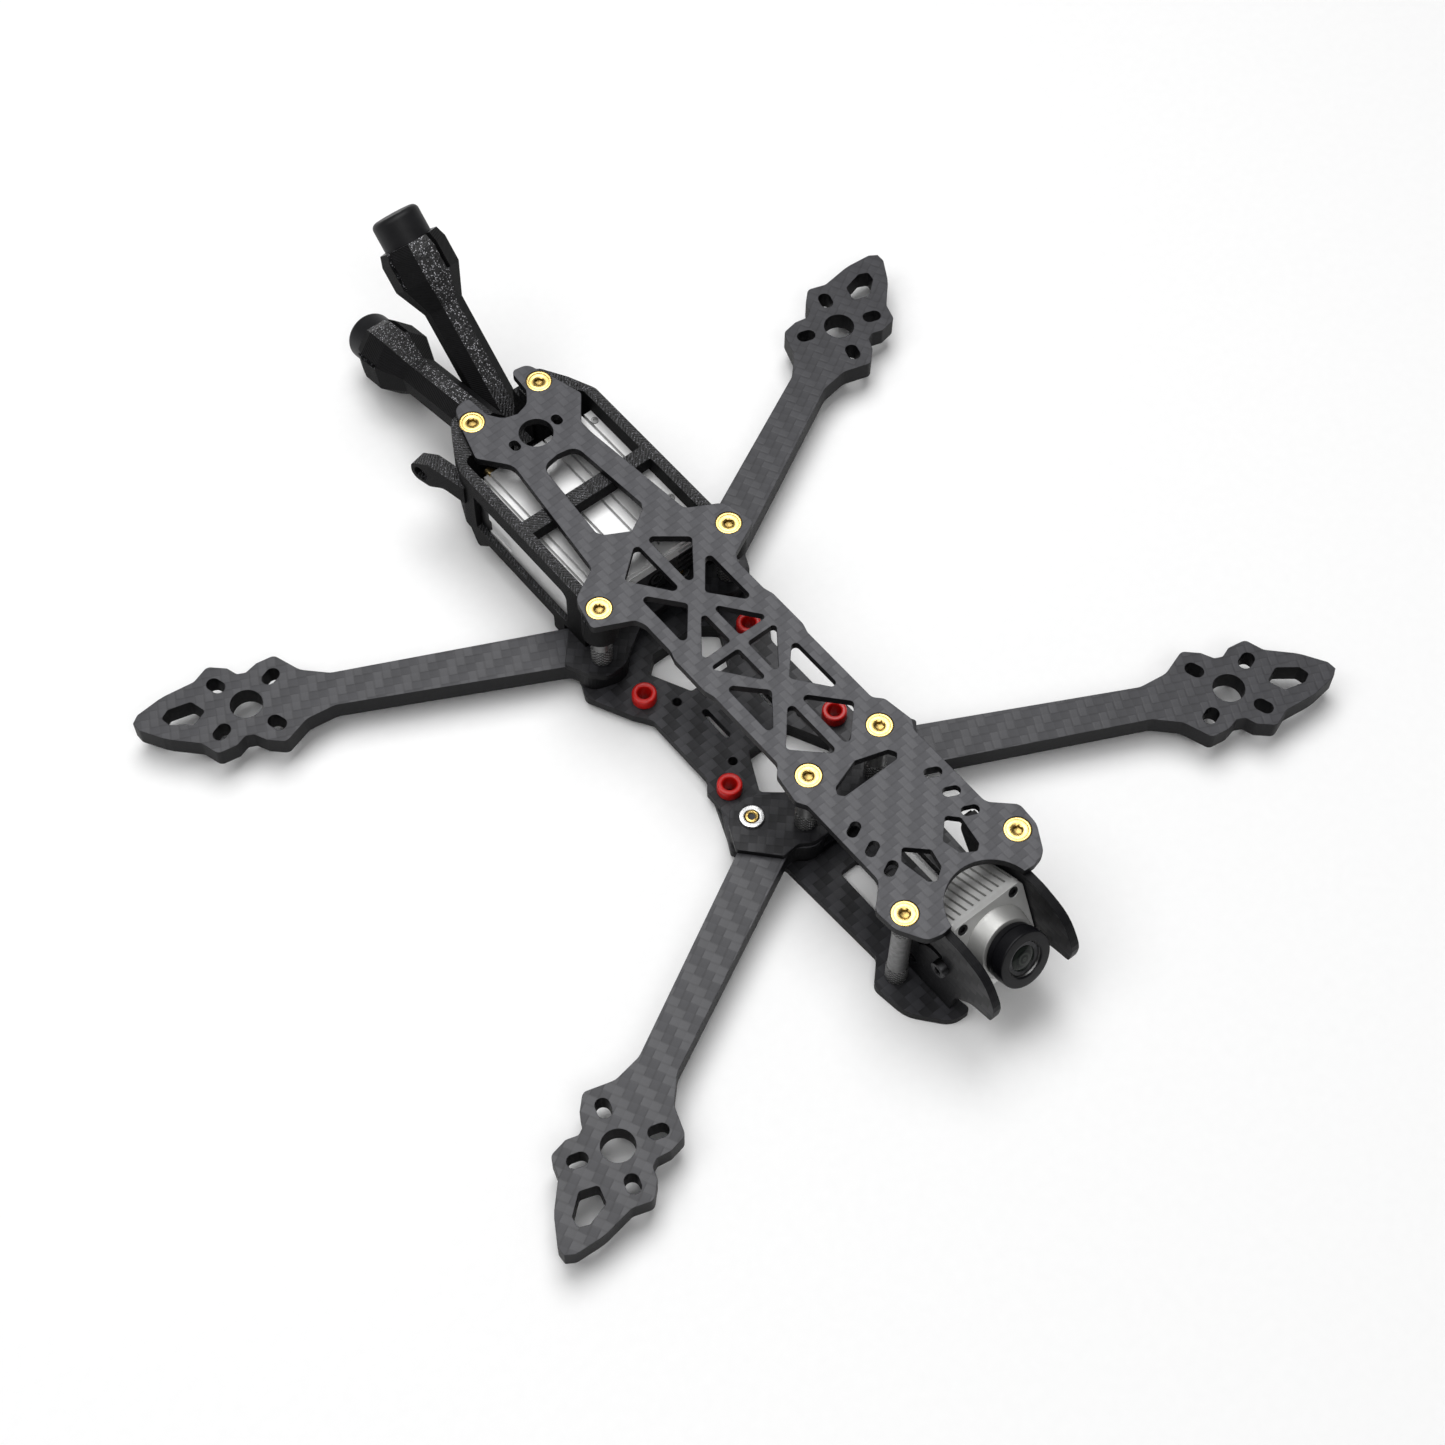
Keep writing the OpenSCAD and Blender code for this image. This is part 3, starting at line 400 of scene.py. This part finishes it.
def coated_glass(name):
    """Dark multicoated glass with painted reflections: rings that stand for the rims of the
    elements behind the front one.
    """
    s = Shader(name)
    place = s.place()
    x, y, z = s.split(place)
    radius = s.math("SQRT", s.math("ADD", s.math("MULTIPLY", x, x), s.math("MULTIPLY", y, y)))
    haze = s.noise(place, 0.6, 2)
    glass_with_painted_rings = s.mix(haze, (0.003, 0.004, 0.004), (0.007, 0.01, 0.009))
    # painted reflections of the rims of the inner elements, as lighter rings
    for low, high, colour in (
        (2.0, 2.75, (0.012, 0.016, 0.013)),
        (0.9, 1.45, (0.026, 0.031, 0.027)),
        (0.0, 0.45, (0.03, 0.036, 0.03)),
    ):
        ring = s.math("MULTIPLY", s.range(radius, low, low + 0.25, smooth=True),
                      s.range(radius, high + 0.15, high, smooth=True))
        glass_with_painted_rings = s.mix(ring, glass_with_painted_rings, colour)
    s.set(Base_Color=glass_with_painted_rings, IOR=1.45, Specular_IOR_Level=0.18)
    s.set(Roughness=s.range(haze, 0.3, 0.7, 0.08, 0.14), Coat_Tint=(0.75, 0.95, 0.85))
    return s.mat


def board_green(name):
    s = Shader(name)
    place = s.place()
    x, y, z = s.split(place)
    stripe = s.math("FRACT", s.math("MULTIPLY", s.math("ADD", x, y), 0.9))
    tracks = s.math("GREATER_THAN", stripe, 0.8)
    s.set(Base_Color=s.mix(tracks, (0.01, 0.07, 0.03), (0.02, 0.13, 0.06)))
    s.set(Roughness=s.range(s.noise(place, 2.0), 0.3, 0.7, 0.3, 0.45))
    return s.mat


plate_carbon = carbon("carbon_plate")
# painted shade: the middle and bottom plates, the clamp plates and the camera plates get darker
# copies of the same carbon, for the shade they lie in
shaded_lower_carbon = carbon("carbon_lower_shaded", tow=2.2, light=0.045, dark=0.004, warp_sheen=0.36,
                      shine=0.24)
shaded_clamp_carbon = carbon("carbon_clamp_shaded", turn=(0, 0, 45), light=0.028, dark=0.003, warp_sheen=0.3,
                      shine=0.19)
shaded_side_carbon = carbon("carbon_side_shaded", turn=(0, -90, 0), light=0.014, dark=0.007, shine=0.19)
arm_carbon = {
    ("left", "rear"): carbon("carbon_arm_a", (0, 0, -ARM_ANGLE), 2.1, 0.052, 0.018),
    ("right", "rear"): carbon("carbon_arm_b", (0, 0, ARM_ANGLE), 2.1, 0.052, 0.018),
}
arm_carbon["left", "front"] = arm_carbon["right", "rear"]
arm_carbon["right", "front"] = arm_carbon["left", "rear"]
tpu = printed("printed_tpu")
tpu_stalk = printed("printed_tpu_stalk", hatch=False)
gold = turned_metal("gold_anodised", (0.88, 0.62, 0.21), 0.26, socket_shade=0.35)
brass = turned_metal("brass_plated", (0.8, 0.6, 0.28), 0.3)
post_metal = knurled_metal("post_metal", (0.19, 0.19, 0.19))
steel = turned_metal("bright_steel", (0.62, 0.62, 0.62), 0.25)
black_steel = turned_metal("black_steel", (0.05, 0.05, 0.052), 0.38)
grey_steel = turned_metal("grey_steel", (0.3, 0.3, 0.3), 0.34)
unit_silver = blasted_metal("unit_silver", (0.72, 0.72, 0.72), 0.4)
case_silver = blasted_metal("case_silver", (0.72, 0.72, 0.72), 0.4, dark_front=UNIT_FRONT + 2.2)
camera_silver = blasted_metal("camera_silver", (0.66, 0.66, 0.65), 0.38, metallic=0.6)
shroud_silver = blasted_metal("shroud_silver", (0.42, 0.42, 0.41), 0.42, metallic=0.6)
unit_black = moulded("unit_black", (0.014, 0.014, 0.015), 0.5)
cap_black = moulded("cap_black", (0.008, 0.008, 0.009), 0.48, speck=4.0, strength=0.12,
                     shine=0.2)
barrel_black = moulded("barrel_black", (0.004, 0.004, 0.005), 0.34, speck=5.0, strength=0.1,
                        shine=0.18)
red = silicone("red_silicone")
glass = coated_glass("coated_glass")
green = board_green("board_green")
copper = turned_metal("copper", (0.72, 0.38, 0.2), 0.4)


# ---------- mesh helpers ----------


def make(name, verts, faces, mat, body, slot, where=None, sharp=35.0, replaces=()):
    """A mesh piece with its points in mm, laid at the matrix where, which is also in mm."""
    mesh = bpy.data.meshes.new(name)
    mesh.from_pydata([Vector(v) * MM for v in verts], [], faces)
    mesh.validate()
    mesh.materials.append(mat)
    mesh.shade_smooth()
    mesh.set_sharp_from_angle(angle=math.radians(sharp))
    return add(name, mesh, body, where, replaces)


def add(name, mesh, body, where=None, replaces=()):
    piece = bpy.data.objects.new(name, mesh)
    bpy.context.scene.collection.objects.link(piece)
    if where is not None:
        where = where.copy()
        where.translation *= MM
        piece.matrix_world = where
    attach(piece, body)
    if replaces:
        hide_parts(*replaces)
    return piece


def lathe(profile, count=ROUND):
    """Points and faces of a profile of (radius, height) turned about Z; radius 0 is a pole."""
    verts, rings = [], []
    for r, z in profile:
        if r < 1e-6:
            rings.append([len(verts)])
            verts.append((0.0, 0.0, z))
        else:
            rings.append(list(range(len(verts), len(verts) + count)))
            verts += [
                (r * math.cos(a), r * math.sin(a), z)
                for a in (2 * math.pi * k / count for k in range(count))
            ]
    faces = []
    for low, high in zip(rings, rings[1:]):
        faces += bridge(low, high)
    return verts, faces


def bridge(low, high):
    count = max(len(low), len(high))
    faces = []
    for k in range(count):
        n = (k + 1) % count
        if len(low) == 1:
            faces.append((low[0], high[n], high[k]))
        elif len(high) == 1:
            faces.append((low[k], low[n], high[0]))
        else:
            faces.append((low[k], low[n], high[n], high[k]))
    return faces


def closed_lathe(profile, count=ROUND):
    """As lathe, for a ring whose profile closes on itself."""
    verts, faces = lathe(profile, count)
    last = list(range(len(verts) - count, len(verts)))
    faces += bridge(last, list(range(count)))
    return verts, faces


def arc(cx, cz, r, start, end, steps=6):
    """Profile points round a corner, in degrees."""
    return [
        (cx + r * math.cos(a), cz + r * math.sin(a))
        for a in (math.radians(start + (end - start) * k / steps) for k in range(steps + 1))
    ]


def at(x, y, z, turn=None):
    m = Matrix.Translation(Vector((x, y, z)))
    return m @ turn if turn is not None else m


def socket_screw(length, head_r=3.0, shank_r=1.475, hex_r=1.1, depth=1.1):
    """A countersunk screw whose head is flush with z = 0, with a chamfered hexagon socket."""
    count = 48

    def circle(r, z):
        return [
            (r * math.cos(a), r * math.sin(a), z)
            for a in (2 * math.pi * k / count for k in range(count))
        ]

    def hexagon(r, z):
        points = []
        for k in range(count):
            a = 2 * math.pi * k / count
            inside = (a % (math.pi / 3)) - math.pi / 6
            d = r * math.cos(math.pi / 6) / math.cos(inside)
            points.append((d * math.cos(a), d * math.sin(a), z))
        return points

    rings = [
        [(0, 0, -depth - 0.25)], hexagon(hex_r, -depth), hexagon(hex_r, -0.22),
        circle(hex_r * 1.14, -0.04), circle(hex_r * 1.2, 0), circle(head_r * 0.78, 0),
        circle(head_r * 0.8, -0.02), circle(head_r * 0.82, 0), circle(head_r - 0.2, 0),
        circle(head_r - 0.06, -0.06), circle(head_r, -0.18), circle(head_r, -0.4),
        circle(shank_r, -1.6), circle(shank_r, -length + 0.3), circle(shank_r - 0.3, -length),
        [(0, 0, -length)],
    ]
    verts, faces, index = [], [], []
    for ring in rings:
        index.append(list(range(len(verts), len(verts) + len(ring))))
        verts += ring
    for inner, outer in zip(index, index[1:]):
        faces += [tuple(reversed(f)) for f in bridge(inner, outer)]
    return verts, faces


def knurled_post(height):
    """A round post with a diamond knurl at each end and a turned neck between."""
    count = 120
    band, pitch = KNURL_BAND, KNURL_PITCH
    root, depth = POST_R - KNURL_DEPTH, KNURL_DEPTH
    rows = [k * pitch / 6 for k in range(int(band / pitch * 6) + 1)]
    z_rows = [(0.0, "end")] + [(z, "knurl") for z in rows if 0.2 < z < band - 0.15]
    z_rows += [(band, "end"), (band + 0.25, "neck"), (height - band - 0.25, "neck")]
    z_rows += [(height - band, "end")]
    z_rows += [(height - z, "knurl") for z in reversed(rows) if 0.2 < z < band - 0.15]
    z_rows += [(height, "end")]

    def peak(t):
        return 1 - abs(2 * (t % 1.0) - 1)

    verts = []
    for z, kind in z_rows:
        for k in range(count):
            a = 2 * math.pi * k / count
            turns = KNURL_TEETH * k / count
            if kind == "neck":
                d = POST_NECK
            elif kind == "end":
                d = POST_R - 0.24
            else:
                d = root + depth * min(peak(turns + z / pitch), peak(turns - z / pitch)) ** 0.8
            verts.append((d * math.cos(a), d * math.sin(a), z))
    for z in (height, 0.0):
        verts += [
            (POST_BORE * math.cos(a), POST_BORE * math.sin(a), z)
            for a in (2 * math.pi * k / count for k in range(count))
        ]
    rings = [list(range(i, i + count)) for i in range(0, len(verts), count)]
    faces = []
    for low, high in zip(rings, rings[1:] + rings[:1]):
        faces += bridge(low, high)
    return verts, faces


# ---------- materials of the CAD pieces ----------


def dress(node, mat):
    slots = nodes[node].data.materials
    if not slots:
        slots.append(mat)
    for k in range(len(slots)):
        slots[k] = mat


dress("top_plate", plate_carbon)
for node in ("middle_plate", "bottom_plate"):
    dress(node, shaded_lower_carbon)
for node in ("front_clamp_plate", "rear_clamp_plate"):
    dress(node, shaded_clamp_carbon)
for node in ("camera_plate_left", "camera_plate_right"):
    dress(node, shaded_side_carbon)
for end in ("front", "rear"):
    for side in ("left", "right"):
        dress(f"arm_{end}_{side}", arm_carbon[side, end])
dress("rear_cage", tpu)
for side in ("left", "right"):
    dress(f"antenna_stalk_{side}", tpu_stalk)
    dress(f"antenna_element_{side}", copper)
dress("transmitter_case", case_silver)
dress("transmitter_lid", unit_silver)
for node in ("transmitter_front_cap", "transmitter_rear_cap"):
    dress(node, unit_black)
for node in ("transmitter_board", "camera_sensor_board"):
    dress(node, green)
for node in ("camera_body", "camera_front_plate"):
    dress(node, camera_silver)
dress("transmitter_screws", grey_steel)
dress("camera_face_screws", black_steel)
dress("lens_retainer", black_steel)
dress("antenna_connectors", brass)

# ---------- fasteners ----------


def both_sides(places):
    return [(sx * x, y) for x, y in places for sx in (1, -1)]


def spread(name, shape, mat, slot, places, node=None):
    """The shape at each matrix in places, as pieces that share a mesh. The first replaces node."""
    mesh = None
    for k, where in enumerate(places):
        if mesh is None:
            stands = (node,) if node else ()
            mesh = make(f"{name}_1", *shape, mat, "frame", slot, where, replaces=stands).data
        else:
            add(f"{name}_{k + 1}", mesh, "frame", where)


def screws(name, places, z, length, mat, slot, node, down=False):
    """A socket screw at each place, its hexagon turned by a different angle each time."""
    turn = Matrix.Rotation(math.pi, 4, "X") if down else Matrix.Identity(4)
    matrices = []
    for k, (x, y) in enumerate(places):
        spin = Matrix.Rotation(math.radians(37 * k % 60), 4, "Z")
        matrices.append(at(x, y, z, turn @ spin))
    spread(name, socket_screw(length), mat, slot, matrices, node)


top_places = both_sides([REAR_POST, ROOT_OUTER, (ROOT_INNER[0], -ROOT_INNER[1]), FRONT_POST])
screws("top_screw", top_places, TOP_Z, PLATE_SCREW_LEN, gold, "gold_screw", "top_plate_screws")
bottom_places = both_sides([REAR_POST, FRONT_POST])
screws("bottom_screw", bottom_places, 0, PLATE_SCREW_LEN, black_steel, "dark_screw",
       "bottom_plate_screws", True)
post_roots = both_sides([ROOT_OUTER, (ROOT_INNER[0], -ROOT_INNER[1])])
nut_roots = both_sides([(ROOT_OUTER[0], -ROOT_OUTER[1]), ROOT_INNER])
screws("root_bolt", post_roots, 0, FOOT_Z + 5, black_steel, "dark_screw", "arm_bolts", True)
screws("nut_bolt", nut_roots, 0, FOOT_Z + 0.5, black_steel, "dark_screw", None, True)

nut_profile = [(1.5, 0), (2.8, 0)] + arc(2.6, 0.6, 0.2, 0, 90, 4) + arc(1.8, 0.6, 0.2, 90, 150, 3)
nut_profile += [(1.5, 0.45)]
nut_places = [at(x, y, FOOT_Z) for x, y in nut_roots]
spread("press_nut", closed_lathe(nut_profile), steel, "nut_steel", nut_places, "press_nuts")
# the brass-coloured ends of the bolts, seen in the nuts
bolt_end = socket_screw(1.2, head_r=1.48, shank_r=1.3, hex_r=0.85, depth=0.7)
bolt_end_places = [at(x, y, FOOT_Z + 0.85) for x, y in nut_roots]
spread("bolt_end", bolt_end, gold, "gold_screw", bolt_end_places)

# ---------- posts ----------

posts = [
    ("front_standoff", FRONT_POST, BOTTOM_T),
    ("mid_front_standoff", (ROOT_INNER[0], -ROOT_INNER[1]), FOOT_Z),
    ("mid_rear_standoff", ROOT_OUTER, FOOT_Z),
    ("rear_standoff", REAR_POST, BOTTOM_T),
]
for name, (x, y), z0 in posts:
    verts, faces = knurled_post(DECK_Z - z0)
    for side, sign in (("left", 1), ("right", -1)):
        node = f"{name}_{side}"
        make(f"{node}_knurled", verts, faces, post_metal, "frame", "standoff_metal",
             at(sign * x, y, z0), sharp=28, replaces=(node,))

# ---------- grommets ----------

bead = [(1.55, 0), (2.0, 0), (2.0, 2.3)] + arc(2.55, 2.65, 0.35, -90, 0, 4)
bead += [(2.85, 3.6)] + arc(2.4, 4.7, 0.45, 0, 90, 6) + arc(2.0, 4.7, 0.45, 90, 180, 5)
bead += [(1.55, 4.4)]
corners = [(1, 1), (-1, 1), (-1, -1), (1, -1)]
grommet_places = [at(sx * STACK_HALF, sy * STACK_HALF, MIDDLE_Z) for sx, sy in corners]
spread("grommet", closed_lathe(bead, 72), red, "red_silicone", grommet_places, "stack_grommets")

# ---------- antenna caps ----------


def stalk_matrix(root, elev):
    return at(*root, Matrix.Rotation(math.radians(elev - 90), 4, "X"))


cap_profile = [(CAP_R - CAP_WALL, 0), (CAP_R - 0.1, 0), (CAP_R, 0.1)]
cap_profile += arc(CAP_R - 1.5, CAP_LEN - 1.5, 1.5, 0, 90, 10)
cap_profile += [(CAP_R - 2.4, CAP_LEN), (0, CAP_LEN)]
inner = [(0, CAP_LEN - CAP_WALL), (CAP_R - CAP_WALL, CAP_LEN - CAP_WALL)]
for side, root, elev in (("left", LEFT_ROOT, LEFT_ELEV), ("right", RIGHT_ROOT, RIGHT_ELEV)):
    verts, faces = lathe(cap_profile)
    low = len(verts)
    more, inner_faces = lathe(inner)
    verts = verts + more
    faces = faces + [tuple(i + low for i in f) for f in inner_faces]
    faces += bridge(list(range(low + 1, low + 1 + ROUND)), list(range(ROUND)))
    where = stalk_matrix(root, elev) @ Matrix.Translation((0, 0, STALK_LEN + CAP_OUT - CAP_LEN))
    make(f"antenna_cap_{side}_soft", verts, faces, cap_black, "frame", "cap_black", where,
         replaces=(f"antenna_cap_{side}",))

# ---------- camera lens ----------

lens_axis = at(*PIVOT, Matrix.Rotation(math.radians(90 - CAMERA_TILT), 4, "X"))
BODY_FRONT, FACE_FRONT, SHROUD_FRONT, LENS_FRONT = 1.9, 3.4, 7.4, 12.66

shroud = [(5.95, FACE_FRONT), (8.3, FACE_FRONT)]
shroud += [(7.7, FACE_FRONT + 2), (7.15, SHROUD_FRONT - 0.25)]
shroud += arc(6.9, SHROUD_FRONT - 0.25, 0.25, 0, 90, 3) + [(5.95, SHROUD_FRONT)]
verts, faces = closed_lathe(shroud, 128)
make("lens_shroud_turned", verts, faces, shroud_silver, "camera", "camera_metal", lens_axis,
     sharp=40, replaces=("lens_shroud",))

barrel = [(3.4, BODY_FRONT), (5.85, BODY_FRONT), (5.85, SHROUD_FRONT + 0.2),
          (6.3, SHROUD_FRONT + 0.2), (6.45, SHROUD_FRONT + 0.4), (6.45, SHROUD_FRONT + 1.6),
          (6.2, SHROUD_FRONT + 1.75), (6.2, SHROUD_FRONT + 2.1), (6.7, SHROUD_FRONT + 2.3)]
barrel += arc(6.35, LENS_FRONT - 0.35, 0.35, 0, 90, 5)
barrel += [(4.45, LENS_FRONT), (4.25, LENS_FRONT - 0.2), (4.05, LENS_FRONT - 1.9),
           (3.95, BODY_FRONT + 8.4), (3.4, BODY_FRONT + 8.2)]
verts, faces = closed_lathe(barrel, 128)
make("lens_barrel_turned", verts, faces, barrel_black, "camera", "lens_black", lens_axis,
     sharp=30, replaces=("lens_barrel",))

# a bare satin ring inside the mouth of the barrel, which catches the light as a crescent
rim = [(4.36, LENS_FRONT - 0.12), (4.02, LENS_FRONT - 0.9), (3.98, LENS_FRONT - 1.7),
       (4.2, LENS_FRONT - 1.7), (4.24, LENS_FRONT - 0.9), (4.42, LENS_FRONT - 0.16)]
verts, faces = closed_lathe(rim, 128)
make("lens_rim", verts, faces, grey_steel, "camera", "lens_black", lens_axis, sharp=30)

GLASS_BACK, GLASS_EDGE, GLASS_FRONT = (BODY_FRONT + d for d in (8.45, 8.9, 10.4))
dome = [(0, GLASS_BACK), (3.93, GLASS_BACK), (3.93, GLASS_EDGE)]
dome += [(3.9 * math.sin(a), GLASS_EDGE + 1.5 * math.cos(a))
         for a in (math.radians(d) for d in range(90, 0, -10))]
verts, faces = lathe(dome + [(0, GLASS_FRONT)])
make("lens_glass_domed", verts, faces, glass, "camera", "lens_clear", lens_axis,
     sharp=50, replaces=("lens_glass",))

# tilt screws: cap heads with a rolled rim and a hexagon socket
verts, faces = socket_screw(4.6, TILT_HEAD_R, TILT_SHANK_R, hex_r=0.95, depth=1.2)
cap_head = []
for x, y, z in verts:
    radius = math.hypot(x, y)
    under_rim = radius > TILT_HEAD_R - 0.05 and z <= -0.35
    top_of_shank = -2 < z < -1.5 and abs(radius - TILT_SHANK_R) < 0.01
    if under_rim or top_of_shank:
        z = -TILT_HEAD_H
    cap_head.append((x, y, z))
for side, sign in (("left", 1), ("right", -1)):
    turn = Matrix.Rotation(sign * math.pi / 2, 4, "Y")
    stands = ("camera_pivot_screws",) if sign > 0 else ()
    make(f"tilt_screw_{side}", cap_head, faces, black_steel, "camera", "dark_screw",
         at(sign * TILT_SCREW_X, PIVOT[1], PIVOT[2], turn), sharp=30, replaces=stands)

# ---------- stage, light and camera ----------

FLOOR_HALF = 1.5  # metres
floor_mesh = bpy.data.meshes.new("floor")
floor_mesh.from_pydata(
    [(-FLOOR_HALF, -FLOOR_HALF, 0), (FLOOR_HALF, -FLOOR_HALF, 0),
     (FLOOR_HALF, FLOOR_HALF, 0), (-FLOOR_HALF, FLOOR_HALF, 0)], [], [(0, 1, 2, 3)])
floor = bpy.data.objects.new("floor", floor_mesh)
bpy.context.scene.collection.objects.link(floor)
paper = Shader("paper")
grain = paper.noise(paper.place(), 0.4, 3)
paper.set(Base_Color=paper.mix(grain, (0.9, 0.9, 0.9), (0.93, 0.93, 0.93)), Roughness=0.9)
floor_mesh.materials.append(paper.mat)


def area_light(name, azimuth, elevation, distance, size, power):
    """A round soft light, in metres and watts. Azimuth 0 is ahead of the nose."""
    data = bpy.data.lights.new(name, "AREA")
    data.shape = "DISK"
    data.size = size
    data.energy = power
    light = bpy.data.objects.new(name, data)
    a, e = math.radians(azimuth), math.radians(elevation)
    way = Vector((math.sin(a) * math.cos(e), -math.cos(a) * math.cos(e), math.sin(e)))
    light.location = Vector((0, 0, 0.02)) + way * distance
    light.rotation_euler = way.to_track_quat("Z", "Y").to_euler()
    bpy.context.scene.collection.objects.link(light)


area_light("key", 150, 70, 1.2, 0.9, 10.4)
area_light("fill", -110, 62, 1.3, 0.9, 5.4)
area_light("front", -20, 55, 1.3, 0.7, 3.6)

world = bpy.data.worlds.new("studio")
bpy.context.scene.world = world
world.use_nodes = True
world.node_tree.nodes["Background"].inputs["Color"].default_value = (1.0, 1.0, 1.0, 1.0)
world.node_tree.nodes["Background"].inputs["Strength"].default_value = 0.12

AZIMUTH, ELEVATION, ROLL = (math.radians(a) for a in (-39.8167, 58.6698, 0.7855))
AIM = Vector((-15.837, -13.196, TOP_Z))
DISTANCE = 546.0
FOCAL_LENGTH, SENSOR_WIDTH = 63.74, 36
back = Vector((math.sin(AZIMUTH) * math.cos(ELEVATION),
               -math.cos(AZIMUTH) * math.cos(ELEVATION), math.sin(ELEVATION)))
level = Vector((math.cos(AZIMUTH), math.sin(AZIMUTH), 0))
above = back.cross(level)
right = level * math.cos(ROLL) + above * math.sin(ROLL)
up = above * math.cos(ROLL) - level * math.sin(ROLL)
view = Matrix((right, up, back)).transposed().to_4x4()
view.translation = (AIM + back * DISTANCE) * MM
lens = bpy.data.cameras.new("view")
lens.sensor_width = SENSOR_WIDTH
lens.lens = FOCAL_LENGTH
lens.clip_start = 0.01
camera = bpy.data.objects.new("view", lens)
camera.matrix_world = view
bpy.context.scene.collection.objects.link(camera)
bpy.context.scene.camera = camera
bpy.context.scene.view_settings.view_transform = "Standard"
